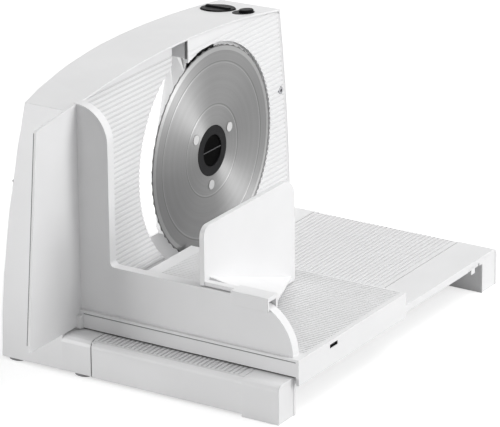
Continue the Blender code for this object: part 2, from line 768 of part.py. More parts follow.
def vent_slots():
    """Cooling slots behind the motor, as one cutter."""
    bm = bmesh.new()
    for i in range(VENT_COUNT):
        centre = Vector((-HOUSING_DEPTH, VENT_Y, VENT_LOW_Z + VENT_PITCH * i))
        size = Matrix.Diagonal((VENT_REACH, VENT_WIDTH, VENT_HEIGHT, 1.0))
        bmesh.ops.create_cube(bm, size=1.0, matrix=Matrix.Translation(centre) @ size)
    mesh = bpy.data.meshes.new("vent_slots")
    bm.to_mesh(mesh)
    bm.free()
    return add_object("vent_slots", mesh)


def make_rear_screws():
    """Five screws that hold the rear cover, sunk into it."""
    for number, (y, z) in enumerate(REAR_SCREWS, 1):
        seat = back_x(y, z) + SCREW_SINK
        screw = rods("rear_screw_%d" % number, SCREW_HEAD_RADIUS, [
            ((seat, y, z), (seat + SCREW_HEAD_HEIGHT, y, z))], BRIGHT, 16)
        join(screw, rods("rear_screw_shank_%d" % number, SCREW_SHANK_RADIUS, [
            ((seat + SCREW_HEAD_HEIGHT / 2, y, z), (seat + SCREW_LENGTH, y, z))], segments=10))


def rear_screw_openings(radius, reach):
    """Round cutters along each rear screw, from outside the cover inwards."""
    return rods("rear_screw_openings", radius, [
        ((-HOUSING_DEPTH - OVERCUT, y, z), (back_x(y, z) + reach, y, z)) for y, z in REAR_SCREWS],
        segments=16)


def rear_screw_bosses():
    return rods("rear_screw_bosses", BOSS_RADIUS, [
        ((back_x(y, z) + WALL + BOSS_GAP, y, z), (0.0, y, z)) for y, z in REAR_SCREWS], segments=12)


def groove_cutter(name, facing, start, end, pitch, width, low, high, depth_low, depth_high):
    """Parallel grooves as one cutter: they step along Z on upright faces and along X on level ones."""
    bm = bmesh.new()
    count = int((end - start) / pitch)
    for i in range(count + 1):
        at = start + pitch * i
        if facing == "front":
            centre = ((depth_low + depth_high) / 2, (low + high) / 2, at)
            size = (depth_high - depth_low, high - low, width)
        elif facing == "table":
            centre = (at, (low + high) / 2, (depth_low + depth_high) / 2)
            size = (width, high - low, depth_high - depth_low)
        else:
            centre = ((low + high) / 2, at, (depth_low + depth_high) / 2)
            size = (high - low, width, depth_high - depth_low)
        bmesh.ops.create_cube(
            bm, size=1.0, matrix=Matrix.Translation(centre) @ Matrix.Diagonal((*size, 1.0)))
    mesh = bpy.data.meshes.new(name)
    bm.to_mesh(mesh)
    bm.free()
    return add_object(name, mesh)


# Front plates

def guard_outline():
    """The fixed plate round the right side of the blade."""
    inset = FRONT_LIP + FIT_GAP
    _, top, right = side_points(inset, ROUND_STEPS)
    left_y = GUARD_LEFT_Y + FIT_GAP
    foot = BASE_TOP + FIT_GAP
    crown = [p for p in top if p[0] > left_y + 0.001]
    side = [p for p in right if p[1] > foot + 0.002]
    start = math.degrees(math.asin((foot - BLADE_Z) / GUARD_RADIUS))
    end = math.degrees(math.acos(left_y / GUARD_RADIUS))
    hole = arc((0.0, BLADE_Z), GUARD_RADIUS, start, end, 24)
    return [(left_y, crown_height(left_y, inset))] + crown + side[1:] + [(side[-1][0], foot)] + hole


def make_guard_plate():
    plate = flat_piece("guard_plate", [guard_outline()], "X", FRONT_SEAT_X + FIT_GAP, GUARD_FACE_X, WHITE)
    cut(plate, groove_cutter("guard_grooves", "front", RIBS_LOW_Z, RIBS_HIGH_Z, RIB_PITCH, RIB_PITCH * 0.45,
                             GUARD_LEFT_Y + 0.003, 0.125, GUARD_FACE_X - RIB_HEIGHT, OVERCUT))
    cut(plate, rods("guard_screw_seat", SCREW_HEAD_RADIUS + FIT_GAP, [
        ((GUARD_FACE_X - 0.0014, GUARD_SCREW_Y, GUARD_SCREW_Z), (OVERCUT, GUARD_SCREW_Y, GUARD_SCREW_Z))]))
    cut(plate, rods("guard_screw_bore", SCREW_SHANK_RADIUS + FIT_GAP, [
        ((-0.02, GUARD_SCREW_Y, GUARD_SCREW_Z), (OVERCUT, GUARD_SCREW_Y, GUARD_SCREW_Z))], segments=10))
    return plate


def make_guard_screw():
    head = GUARD_FACE_X - 0.0011
    screw = rods("guard_screw", SCREW_HEAD_RADIUS, [
        ((head, GUARD_SCREW_Y, GUARD_SCREW_Z), (GUARD_FACE_X + 0.0002, GUARD_SCREW_Y, GUARD_SCREW_Z))], BRIGHT)
    join(screw, rods("guard_screw_shank", SCREW_SHANK_RADIUS, [
        ((head - SCREW_LENGTH, GUARD_SCREW_Y, GUARD_SCREW_Z), (head + 0.0005, GUARD_SCREW_Y, GUARD_SCREW_Z))],
        segments=10))
    cut(screw, box("guard_screw_slot", (GUARD_FACE_X - 0.0006, GUARD_SCREW_Y - 0.0003, GUARD_SCREW_Z - 0.005),
                   (OVERCUT, GUARD_SCREW_Y + 0.0003, GUARD_SCREW_Z + 0.005)))
    return screw


def stop_outline(inset):
    """Outline of the stop plate, drawn in by an inset."""
    radius = STOP_PLATE_RADIUS + inset
    right_y = STOP_PLATE_RIGHT_Y - inset
    step_z = BLADE_Z + on_arc_z(radius, right_y)
    return stop_bay_outline(WALL + STOP_CLEARANCE + inset, radius, right_y,
                            BASE_TOP + STOP_FOOT_GAP + inset, step_z, STOP_BAY_DROP)


def make_stop_plate():
    plate = flat_piece("stop_plate", [stop_outline(0.0)], "X",
                       STOP_PLATE_X - STOP_RIM_DEPTH, STOP_PLATE_X, WHITE)
    hollow = flat_piece("stop_hollow", [stop_outline(STOP_RIM_WALL)], "X",
                        STOP_PLATE_X - STOP_RIM_DEPTH - OVERCUT, STOP_PLATE_X - STOP_PLATE_THICKNESS)
    cut(hollow, rods("stop_bosses", GUIDE_RADIUS + 0.003, guide_line(-0.020, OVERCUT)))
    cut(plate, hollow)
    cut(plate, rods("stop_boss_bores", GUIDE_RADIUS + FIT_GAP, guide_line(-0.020, STOP_PLATE_X - 0.0015)))
    cut(plate, groove_cutter("stop_grooves", "front", RIBS_LOW_Z, RIBS_HIGH_Z, RIB_PITCH, RIB_PITCH * 0.45,
                             -0.2200, -0.020, STOP_PLATE_X - RIB_HEIGHT, OVERCUT))
    return plate


def guide_line(low, high):
    """The two guide axes between two places along X."""
    return [((low, GUIDE_Y, z), (high, GUIDE_Y, z)) for z in (GUIDE_LOW_Z, GUIDE_HIGH_Z)]


def make_stop_slide():
    lower, upper = guide_line(GUIDE_BACK_X, STOP_PLATE_X - 0.0018)
    guides = [rods("stop_guide_lower", GUIDE_RADIUS, [lower], STEEL),
              rods("stop_guide_upper", GUIDE_RADIUS, [upper], STEEL)]
    front = GUIDE_BACK_X + CARRIER_THICKNESS
    carrier = flat_piece("stop_carrier", [rounded([
        (GUIDE_Y - 0.009, GUIDE_LOW_Z - 0.008, 0.004), (GUIDE_Y + 0.009, GUIDE_LOW_Z - 0.008, 0.004),
        (GUIDE_Y + 0.009, GUIDE_HIGH_Z + 0.008, 0.004), (GUIDE_Y - 0.009, GUIDE_HIGH_Z + 0.008, 0.004)], 3)],
        "X", GUIDE_BACK_X, front, BLACK)
    cut(carrier, rods("carrier_bores", GUIDE_RADIUS + FIT_GAP, guide_line(-0.060, 0.0)))
    cut(carrier, rods("carrier_nut_bore", SCREW_CORE_RADIUS + 2 * SCREW_RIDGE_RADIUS + 0.0003, [
        ((-0.060, KNOB_Y, KNOB_Z), (0.0, KNOB_Y, KNOB_Z))], segments=24))
    return guides + [carrier]


def make_thickness_screw():
    start, end = -0.0600, -0.0245
    screw = rods("thickness_screw", SCREW_CORE_RADIUS, [((start, KNOB_Y, KNOB_Z), (end, KNOB_Y, KNOB_Z))],
                 GREY, 20)
    radius = SCREW_CORE_RADIUS + SCREW_RIDGE_RADIUS * 0.5
    low, high = -0.0470, -0.0265
    turns = (high - low) / SCREW_LEAD
    steps = 24
    ridge = []
    for i in range(steps + 1):
        angle = 2 * math.pi * turns * i / steps
        ridge.append((low + (high - low) * i / steps, KNOB_Y + radius * math.cos(angle),
                      KNOB_Z + radius * math.sin(angle)))
    join(screw, wire("screw_ridge", ridge, SCREW_RIDGE_RADIUS))
    return screw


def make_thickness_knob():
    near, far = KNOB_SEAT_X, KNOB_SEAT_X - KNOB_LENGTH
    profile = [(0.0, 0.0), (KNOB_RADIUS - 0.002, 0.0), (KNOB_RADIUS, 0.003), (KNOB_RADIUS - 0.0015, KNOB_LENGTH),
               (0.0, KNOB_LENGTH)]
    knob = turned("thickness_knob", profile, (far, KNOB_Y, KNOB_Z), "X", BLACK, 32)
    for side in (-1, 1):
        flank = rods("grip_hollow", 0.030, [
            ((far - OVERCUT, KNOB_Y + side * 0.0355, KNOB_Z), (near - 0.004, KNOB_Y + side * 0.0355, KNOB_Z))],
            segments=40)
        cut(knob, flank)
    cut(knob, rods("knob_socket", SCREW_CORE_RADIUS + FIT_GAP, [
        ((-0.0603, KNOB_Y, KNOB_Z), (0.0, KNOB_Y, KNOB_Z))], segments=20))
    cut(knob, box("pointer_line", (far - OVERCUT, KNOB_Y - 0.0006, KNOB_Z + 0.006),
                  (far + 0.0006, KNOB_Y + 0.0006, KNOB_Z + 0.030)))
    return knob


# Blade and drive

def blade_outline():
    """Shallow scallops between small points, all round the blade."""
    points = []
    per_tooth = 3
    for i in range(BLADE_TEETH * per_tooth):
        share = (i % per_tooth) / per_tooth
        drop = TOOTH_DEPTH * math.sin(math.pi * share)
        angle = 2 * math.pi * (i + 0.31) / (BLADE_TEETH * per_tooth)
        points.append(((BLADE_RADIUS - drop) * math.cos(angle),
                       BLADE_Z + (BLADE_RADIUS - drop) * math.sin(angle)))
    return points


def rivet_centres():
    first = math.radians(FIRST_RIVET_ANGLE)
    angles = [first + 2 * math.pi * i / RIVET_COUNT for i in range(RIVET_COUNT)]
    return [(RIVET_CIRCLE * math.cos(t), BLADE_Z + RIVET_CIRCLE * math.sin(t)) for t in angles]


def make_blade():
    """A turned disc with its bevel and rings, kept inside the scalloped outline."""
    back, rim = -BLADE_THICKNESS, BLADE_RADIUS + OVERCUT
    slope = BEVEL_DROP / (BLADE_RADIUS - BEVEL_RADIUS)
    blade = turned("blade", [
        (HUB_RADIUS + FIT_GAP, back), (rim, back), (rim, -slope * (rim - BEVEL_RADIUS)), (BEVEL_RADIUS, 0.0),
        (RING_RADIUS + 0.0008, 0.0), (RING_RADIUS, -RING_HEIGHT), (RING_RADIUS - 0.0008, 0.0),
        (INNER_RING + 0.0008, 0.0), (INNER_RING, -RING_HEIGHT), (INNER_RING - 0.0008, 0.0),
        (HUB_RADIUS + FIT_GAP, 0.0)], (0, 0, BLADE_Z), "X", BRIGHT, 48)
    keep_inside(blade, flat_piece("blade_edge", [blade_outline()], "X", -0.01, 0.01))
    cut(blade, rods("rivet_bores", RIVET_RADIUS + 0.0002, [
        ((-0.01, y, z), (0.01, y, z)) for y, z in rivet_centres()], segments=16))
    return blade


def make_hub():
    flange = -BLADE_THICKNESS - FIT_GAP
    back = flange - HUB_FLANGE_THICKNESS
    barrel = BEARING_RADIUS - 0.0006
    bore = SPINDLE_RADIUS + FIT_GAP
    hub = turned("blade_hub", [
        (bore, back - 0.0045), (barrel, back - 0.0045), (barrel, back), (HUB_FLANGE_RADIUS, back),
        (HUB_FLANGE_RADIUS, flange), (HUB_RADIUS, flange), (HUB_RADIUS, HUB_PROUD), (HUB_BORE, HUB_PROUD),
        (HUB_BORE, HUB_FLOOR), (bore, HUB_FLOOR)], (0, 0, BLADE_Z), "X", BLACK, 32)
    cut(hub, rods("rivet_shank_bores", 0.0023, [
        ((-0.01, y, z), (0.01, y, z)) for y, z in rivet_centres()], segments=12))
    return hub


def make_rivets():
    rivets = []
    for number, (y, z) in enumerate(rivet_centres(), 1):
        rivet = rods("blade_rivet_%d" % number, RIVET_RADIUS, [((-BLADE_THICKNESS, y, z), (RIVET_HEAD, y, z))],
                     BRIGHT, 16)
        join(rivet, rods("rivet_shank_%d" % number, 0.0020, [
            ((-BLADE_THICKNESS - 0.0016, y, z), (-BLADE_THICKNESS / 2, y, z))], segments=12))
        rivets.append(rivet)
    return rivets


def make_blade_lock():
    """The disc in the hub, with a thin bar across it to turn it by."""
    near = HUB_FLOOR + FIT_GAP
    lock = rods("blade_lock", HUB_BORE - 0.0006, [((near, 0, BLADE_Z), (near + 0.0008, 0, BLADE_Z))], BLACK, 32)
    join(lock, box("lock_bar", (near, -0.0112, BLADE_Z - 0.0004), (HUB_PROUD - 0.0002, 0.0112, BLADE_Z + 0.0004)))
    return lock


def make_spindle():
    return rods("spindle", SPINDLE_RADIUS, [
        ((REAR_BEARING_X - BEARING_WIDTH / 2 - 0.001, 0, BLADE_Z), (HUB_FLOOR - 0.0002, 0, BLADE_Z))], STEEL, 20)


def make_bearing(name, x):
    half = BEARING_WIDTH / 2
    inner = SPINDLE_RADIUS + FIT_GAP
    return turned(name, [(inner, -half), (BEARING_RADIUS, -half), (BEARING_RADIUS, half), (inner, half)],
                  (x, 0, BLADE_Z), "X", BRASS, 24)


def worm_pitch():
    return 2 * math.pi * WHEEL_PITCH_RADIUS / WHEEL_TEETH


def worm_y():
    return WHEEL_PITCH_RADIUS + WORM_THREAD_CENTRE + 0.0007


def wheel_outline():
    """Straight-sided teeth round the worm wheel."""
    points = []
    tip, root = WHEEL_PITCH_RADIUS + WHEEL_TIP, WHEEL_PITCH_RADIUS - WHEEL_ROOT
    for i in range(WHEEL_TEETH):
        middle = 2 * math.pi * i / WHEEL_TEETH
        for radius, side in ((root, -0.0013), (tip, -0.00075), (tip, 0.00075), (root, 0.0013)):
            angle = middle + side / radius
            points.append((radius * math.cos(angle), BLADE_Z + radius * math.sin(angle)))
    return points


def make_worm_wheel():
    low, high = WHEEL_X - WHEEL_WIDTH / 2, WHEEL_X + WHEEL_WIDTH / 2
    wheel = flat_piece("worm_wheel", [wheel_outline()], "X", low, high, NYLON)
    twist = worm_pitch() / (2 * math.pi * WORM_THREAD_CENTRE) / WHEEL_PITCH_RADIUS
    for vert in wheel.data.vertices:
        turn = Matrix.Rotation((vert.co.x - WHEEL_X) * twist, 3, "X")
        vert.co = turn @ (vert.co - Vector((0, 0, BLADE_Z))) + Vector((0, 0, BLADE_Z))
    join(wheel, rods("wheel_hub", 0.009, [
        ((REAR_BEARING_X + BEARING_WIDTH / 2 + FIT_GAP, 0, BLADE_Z),
         (FRONT_BEARING_X - BEARING_WIDTH / 2 - FIT_GAP, 0, BLADE_Z))], segments=24))
    cut(wheel, rods("wheel_bore", SPINDLE_RADIUS + 0.0002, [((-0.06, 0, BLADE_Z), (0.0, 0, BLADE_Z))], segments=20))
    return wheel


def make_worm():
    low, high = BLADE_Z - WORM_LENGTH / 2, BLADE_Z + WORM_LENGTH / 2
    centre = (WHEEL_X, worm_y())
    worm = rods("worm", WORM_CORE_RADIUS, [((*centre, low), (*centre, high))], STEEL, 16)
    join(worm, rods("worm_shaft", MOTOR_SHAFT_RADIUS, [
        ((*centre, MOTOR_FLOOR + MOTOR_LENGTH + FIT_GAP), (*centre, ARM_Z + 0.006))], segments=12))
    pitch = worm_pitch()
    reach = WORM_LENGTH / 2 - 0.002
    first = -reach / pitch * 360
    last = reach / pitch * 360
    steps = int((last - first) / 40)
    thread = []
    for i in range(steps + 1):
        along = first + (last - first) * i / steps
        angle = math.radians(270 + along)
        thread.append((centre[0] + WORM_THREAD_CENTRE * math.cos(angle),
                       centre[1] + WORM_THREAD_CENTRE * math.sin(angle),
                       BLADE_Z + pitch / 2 + pitch * along / 360))
    join(worm, wire("worm_thread", thread, WORM_THREAD_RADIUS))
    return worm


def make_motor():
    centre = (WHEEL_X, worm_y())
    top = MOTOR_FLOOR + MOTOR_LENGTH
    can = turned("motor_can", [
        (0.0, MOTOR_FLOOR + 0.006), (MOTOR_RADIUS, MOTOR_FLOOR + 0.006), (MOTOR_RADIUS, top - 0.002),
        (MOTOR_RADIUS - 0.002, top), (0.0, top)], (*centre, 0.0), "Z", STEEL, 24)
    cap = turned("motor_end_cap", [
        (0.0, MOTOR_FLOOR), (MOTOR_RADIUS - 0.003, MOTOR_FLOOR), (MOTOR_RADIUS, MOTOR_FLOOR + 0.002),
        (MOTOR_RADIUS, MOTOR_FLOOR + 0.006 - FIT_GAP), (0.0, MOTOR_FLOOR + 0.006 - FIT_GAP)],
        (*centre, 0.0), "Z", BLACK, 24)
    x, y = centre
    mount = box("motor_mount", (x - 0.017, y - 0.012, top + FIT_GAP),
                (FRONT_SEAT_X - FRONT_WALL - FIT_GAP, y + 0.017, top + 0.003), GREY)
    join(mount, box("mount_flange", (FRONT_SEAT_X - FRONT_WALL - 0.002, y - 0.012, top - 0.012),
                    (FRONT_SEAT_X - FRONT_WALL - FIT_GAP, y + 0.017, top + 0.001)))
    cut(mount, rods("mount_bore", 0.006, [((x, y, top - 0.01), (x, y, top + 0.01))], segments=20))
    return can, cap, mount


def make_gear_bracket():
    """The plate behind the worm wheel: rear bearing, top bush of the worm and three legs."""
    low, high = REAR_BEARING_X - BRACKET_THICKNESS / 2, REAR_BEARING_X + BRACKET_THICKNESS / 2
    foot, top = BLADE_Z - 0.0175, BLADE_Z + 0.0405
    corners = [(-0.0125, foot, 0.004), (0.0600, foot, 0.006), (0.0600, top, 0.006),
               (0.0020, top, 0.005), (-0.0125, BLADE_Z + 0.0145, 0.004)]
    bracket = flat_piece("gear_bracket", [rounded(corners, 3)], "X", low, high, GREY)
    x, y = WHEEL_X, worm_y()
    join(bracket, box("bush_arm", (low + 0.0005, y - 0.0085, ARM_Z), (x + 0.0085, y + 0.0085, ARM_Z + 0.004)))
    wall = FRONT_SEAT_X - FRONT_WALL - FIT_GAP
    join(bracket, rods("bracket_legs", 0.0035, [
        ((low + 0.0005, leg_y, leg_z), (wall, leg_y, leg_z)) for leg_y, leg_z in BRACKET_LEGS]))
    cut(bracket, rods("rear_bearing_bore", BEARING_RADIUS + FIT_GAP, [
        ((low - 0.01, 0, BLADE_Z), (high + 0.002, 0, BLADE_Z))], segments=24))
    cut(bracket, rods("bush_bore", 0.0050 + FIT_GAP, [((x, y, ARM_Z - 0.001), (x, y, ARM_Z + 0.01))], segments=20))
    bush = turned("worm_bush", [
        (MOTOR_SHAFT_RADIUS + FIT_GAP, ARM_Z), (0.0050, ARM_Z), (0.0050, ARM_Z + 0.004),
        (MOTOR_SHAFT_RADIUS + FIT_GAP, ARM_Z + 0.004)], (x, y, 0.0), "Z", BRASS, 20)
    return bracket, bush


# Controls

def make_power_switch():
    """A round turning switch with a low ridge across it."""
    switch = turned("power_switch", [
        (0.0, -CONTROL_DEPTH), (0.0045, -CONTROL_DEPTH), (0.0045, -SWITCH_SKIRT), (SWITCH_RADIUS, -SWITCH_SKIRT),
        (SWITCH_RADIUS, SWITCH_HEIGHT - 0.0005), (SWITCH_RADIUS - 0.0006, SWITCH_HEIGHT), (0.0, SWITCH_HEIGHT)],
        (0, 0, 0), "Z", BLACK, 32)
    frame = top_frame(SWITCH_X, SWITCH_Y)
    switch.matrix_world = frame
    for name, half, low, high in (("ridge_foot", 0.0030, -0.001, RIDGE_HEIGHT / 2),
                                  ("ridge_crest", 0.0017, -0.0006, RIDGE_HEIGHT)):
        ridge = flat_piece(name, [rounded([
            (-0.0115, -half, half / 2), (0.0115, -half, half / 2), (0.0115, half, half / 2),
            (-0.0115, half, half / 2)], 3)], "Z", SWITCH_HEIGHT + low, SWITCH_HEIGHT + high)
        ridge.matrix_world = frame @ Matrix.Rotation(math.radians(-5), 4, "Z")
        join(switch, ridge)
    return switch


def make_safety_button():
    """An oval key, nearly flush, with a raised pad and a stem down to its contact."""
    button = flat_piece("safety_button", [oval(BUTTON_HALF_WIDTH, BUTTON_HALF_LENGTH, 24)], "Z",
                        -BUTTON_SKIRT, BUTTON_PROUD, BLACK)
    button.matrix_world = frame = top_frame(BUTTON_X, BUTTON_Y)
    pad_low = flat_piece("pad_low", [oval(PAD_HALF_WIDTH, PAD_HALF_LENGTH, 24, PAD_SHIFT)], "Z",
                         -0.001, PAD_HEIGHT - 0.0005)
    pad_top = flat_piece("pad_top", [oval(PAD_HALF_WIDTH - 0.0005, PAD_HALF_LENGTH - 0.0005, 24, PAD_SHIFT)],
                         "Z", 0.0, PAD_HEIGHT)
    stem = rods("button_stem", 0.0035, [((0, 0, -CONTROL_DEPTH), (0, 0, -0.001))], segments=12)
    for extra in (pad_low, pad_top, stem):
        extra.matrix_world = frame
        join(button, extra)
    return button


def make_switch_module():
    top = -CONTROL_DEPTH - FIT_GAP
    module = box("switch_module", (-0.011, -0.012, top - 0.016), (0.011, 0.006, top), BLACK)
    module.matrix_world = top_frame(SWITCH_X, SWITCH_Y)
    pressed = top_frame(BUTTON_X, BUTTON_Y) @ Vector((0, 0, -CONTROL_DEPTH - BUTTON_TRAVEL))
    button_top = pressed.z - 0.0006 - FIT_GAP
    wall = FRONT_SEAT_X - FRONT_WALL - FIT_GAP
    contact = box("button_contact", (wall - 0.0125, pressed.y - 0.006, button_top - 0.012),
                  (wall, pressed.y + 0.006, button_top), GREY)
    return module, contact


# Table

def leg_outline(left, right, foot, top, rounding, beam):
    """Two hollow legs under a flat top, seen along X, as one outline."""
    leg, wall = TABLE_LEG_WIDTH, TABLE_WALL
    under = top - wall
    outer = rounded([(left, foot, 0), (right, foot, 0), (right, top, rounding), (left, top, rounding)], 4)
    outer = outer[1:]
    return [(left, foot)] + [
        (left + wall, foot), (left + wall, under), (left + leg - wall, under), (left + leg - wall, foot),
        (left + leg, foot), (left + leg, top - beam), (right - leg, top - beam), (right - leg, foot),
        (right - leg + wall, foot), (right - leg + wall, under + 0.0001), (right - wall, under + 0.0001),
        (right - wall, foot),
    ] + outer


def make_table():
    end = TABLE_FRAME_X - SLIDE_GAP
    table = flat_piece("folding_table", [leg_outline(
        TABLE_LEFT_Y, TABLE_RIGHT_Y, TABLE_SKIRT_Z, TABLE_TOP, BASE_ROUNDING, TABLE_WALL + FIT_GAP)],
        "X", TABLE_X, end, WHITE)
    for name, low, high in (("left", TABLE_LEFT_Y, TABLE_LEFT_Y + TABLE_LEG_WIDTH),
                            ("right", TABLE_RIGHT_Y - TABLE_LEG_WIDTH, TABLE_RIGHT_Y)):
        join(table, box("leg_end_" + name, (TABLE_X + 0.0002, low + 0.001, TABLE_SKIRT_Z + 0.0002),
                        (TABLE_X + TABLE_WALL, high - 0.001, TABLE_TOP - 0.001)))
    cut(table, groove_cutter("table_grooves", "table", TABLE_X + 0.004, end - 0.003, TABLE_RIB_PITCH,
                             TABLE_RIB_PITCH * 0.45, TABLE_LEFT_Y + 0.004, TABLE_RIGHT_Y - 0.004,
                             TABLE_TOP - RIB_GROOVE_DEPTH, TABLE_TOP + OVERCUT))
    cut(table, hinge_pockets("table_pockets"))
    return table


def hinge_centres():
    inset = TABLE_LEG_WIDTH / 2
    return (TABLE_LEFT_Y + inset, TABLE_RIGHT_Y - inset)


def hinge_pockets(name):
    x = (BASE_REACH + TABLE_X) / 2
    half = HINGE_PIN_LENGTH / 2 + FIT_GAP
    return rods(name, HINGE_PIN_RADIUS + FIT_GAP, [
        ((x, y - half, HINGE_PIN_Z), (x, y + half, HINGE_PIN_Z)) for y in hinge_centres()], segments=16)


def make_hinge_pins():
    x = (BASE_REACH + TABLE_X) / 2
    half = HINGE_PIN_LENGTH / 2
    for number, y in enumerate(hinge_centres(), 1):
        rods("table_hinge_pin_%d" % number, HINGE_PIN_RADIUS, [
            ((x, y - half, HINGE_PIN_Z), (x, y + half, HINGE_PIN_Z))], STEEL, 16)


def make_table_frame():
    frame = flat_piece("table_end_frame", [leg_outline(
        TABLE_LEFT_Y - FRAME_PROUD, TABLE_RIGHT_Y + FRAME_PROUD, 0.0, TABLE_TOP, BASE_ROUNDING,
        FRAME_BEAM_DEPTH)], "X", TABLE_FRAME_X, TABLE_END_X, WHITE)
    cut(frame, box("beam_hollow", (TABLE_FRAME_X + TABLE_WALL, TABLE_LEFT_Y + TABLE_LEG_WIDTH + 0.004, -OVERCUT),
                   (TABLE_END_X - TABLE_WALL, TABLE_RIGHT_Y - TABLE_LEG_WIDTH - 0.004, TABLE_TOP - TABLE_WALL - 0.0002)))
    for name, low, high in (("left", TABLE_LEFT_Y, TABLE_LEFT_Y + TABLE_LEG_WIDTH),
                            ("right", TABLE_RIGHT_Y - TABLE_LEG_WIDTH, TABLE_RIGHT_Y)):
        join(frame, box("frame_end_" + name, (TABLE_END_X - TABLE_WALL, low + 0.001, 0.0002),
                        (TABLE_END_X - 0.0002, high - 0.001, TABLE_TOP - 0.001)))
    cut(frame, box("latch_notch", (TABLE_END_X - 0.004, 0.0700, 0.020), (TABLE_END_X + OVERCUT, 0.0880, 0.0270)))
    return frame


def make_table_latch():
    latch = box("table_latch", (TABLE_END_X - 0.0100, 0.0704, 0.0246), (TABLE_END_X - 0.0006, 0.0876, 0.0267), GREY)
    join(latch, box("latch_hook", (TABLE_END_X - 0.0028, 0.0760, 0.0205), (TABLE_END_X - 0.0006, 0.0820, 0.0250)))
    return latch


# Carriage

def pusher_outline(inset):
    """The upright wall that pushes the food, seen from in front, as (x, z) points."""
    tall_x = PUSHER_TALL_X - inset
    low_z = PUSHER_LOW_Z - inset
    tall_centre = (PUSHER_TALL_X - PUSHER_CORNER, PUSHER_TALL_Z - PUSHER_CORNER)
    tall_radius = PUSHER_CORNER - inset
    first = math.degrees(math.acos((PUSHER_X + inset + FIT_GAP - tall_centre[0]) / tall_radius))
    tall = arc(tall_centre, tall_radius, min(90, first), 0, 10)
    corner_radius = PUSHER_INNER_CORNER + inset
    corner = arc((tall_x + corner_radius, low_z + corner_radius), corner_radius, 180, 270, 5)
    foot = CARRIAGE_TOP - CARRIAGE_WALL + 0.001 + inset
    end_centre = (PUSHER_END_X - PUSHER_END_RADIUS, PUSHER_LOW_Z - PUSHER_END_RADIUS)
    end_radius = PUSHER_END_RADIUS - inset
    last = math.degrees(math.asin((foot - end_centre[1]) / end_radius))
    end = arc(end_centre, end_radius, 90, last, 12)
    return [(PUSHER_X + inset, foot), (PUSHER_X + inset, PUSHER_TALL_Z - inset)] + tall + corner + end


def make_carriage():
    low = TABLE_TOP + FIT_GAP
    carriage = box("carriage", (CARRIAGE_X, CARRIAGE_LEFT_Y, low), (CARRIAGE_END_X, CARRIAGE_RIGHT_Y, CARRIAGE_TOP),
                   WHITE)
    cut(carriage, box("carriage_hollow", (CARRIAGE_X + CARRIAGE_WALL, CARRIAGE_LEFT_Y + CARRIAGE_WALL, 0.0),
                      (CARRIAGE_END_X - CARRIAGE_WALL, CARRIAGE_RIGHT_Y - CARRIAGE_WALL,
                       CARRIAGE_TOP - CARRIAGE_WALL)))
    join(carriage, box("side_flange", (CARRIAGE_END_X - CARRIAGE_WALL, CARRIAGE_LEFT_Y + 0.0002, FLANGE_DROP_Z),
                       (CARRIAGE_END_X, CARRIAGE_RIGHT_Y - 0.0002, low + 0.002)))
    join(carriage, box("corner_tab", (PUSHER_X - 0.0002, CARRIAGE_LEFT_Y - EAR_DEPTH, low + 0.0008),
                       (PUSHER_X + EAR_WIDTH, CARRIAGE_LEFT_Y + 0.0013, CARRIAGE_TOP - 0.0035)))
    join(carriage, make_pusher())
    join(carriage, flat_piece("shield", [rounded([
        (PUSHER_Y + 0.001, PUSHER_TALL_Z - 0.0004, 0), (SHIELD_TOP_Y, SHIELD_TOP_Z, 0.0015),
        (SHIELD_Y, SHIELD_FOOT_Z, 0.0015), (CARRIAGE_LEFT_Y + 0.001, SHIELD_FOOT_Z, 0),
        (PUSHER_Y + 0.001, CARRIAGE_TOP, 0)], 3)],
        "X", PUSHER_X + 0.0001, PUSHER_X + CARRIAGE_WALL))
    cut(carriage, groove_cutter("floor_grooves", "floor", PUSHER_Y + PUSHER_RIM + 0.004, CARRIAGE_RIGHT_Y - 0.002,
                                FLOOR_RIB_PITCH, FLOOR_RIB_PITCH * 0.4, CARRIAGE_X + 0.012,
                                CARRIAGE_END_X - 0.004, CARRIAGE_TOP - 0.0003, CARRIAGE_TOP + OVERCUT))
    slot_y = CARRIAGE_LEFT_Y + FLANGE_SLOT_SETBACK
    cut(carriage, box("flange_slot", (CARRIAGE_END_X - 0.01, slot_y, FLANGE_SLOT_Z),
                      (CARRIAGE_END_X + OVERCUT, slot_y + FLANGE_SLOT_LENGTH, FLANGE_SLOT_Z + FLANGE_SLOT_HEIGHT)))
    cut(carriage, box("band_line", (CARRIAGE_X + 0.004, CARRIAGE_LEFT_Y - OVERCUT, 0.0428),
                      (PUSHER_END_X + 0.002, CARRIAGE_LEFT_Y + 0.0005, 0.0434)))
    return carriage


def make_pusher():
    wall = flat_piece("pusher", [pusher_outline(0.0)], "Y", PUSHER_Y, PUSHER_Y + PUSHER_RIM)
    cut(wall, flat_piece("pusher_hollow", [pusher_outline(CARRIAGE_WALL)], "Y",
                         PUSHER_Y + CARRIAGE_WALL, PUSHER_Y + PUSHER_RIM + OVERCUT))
    return wall


# Food holder

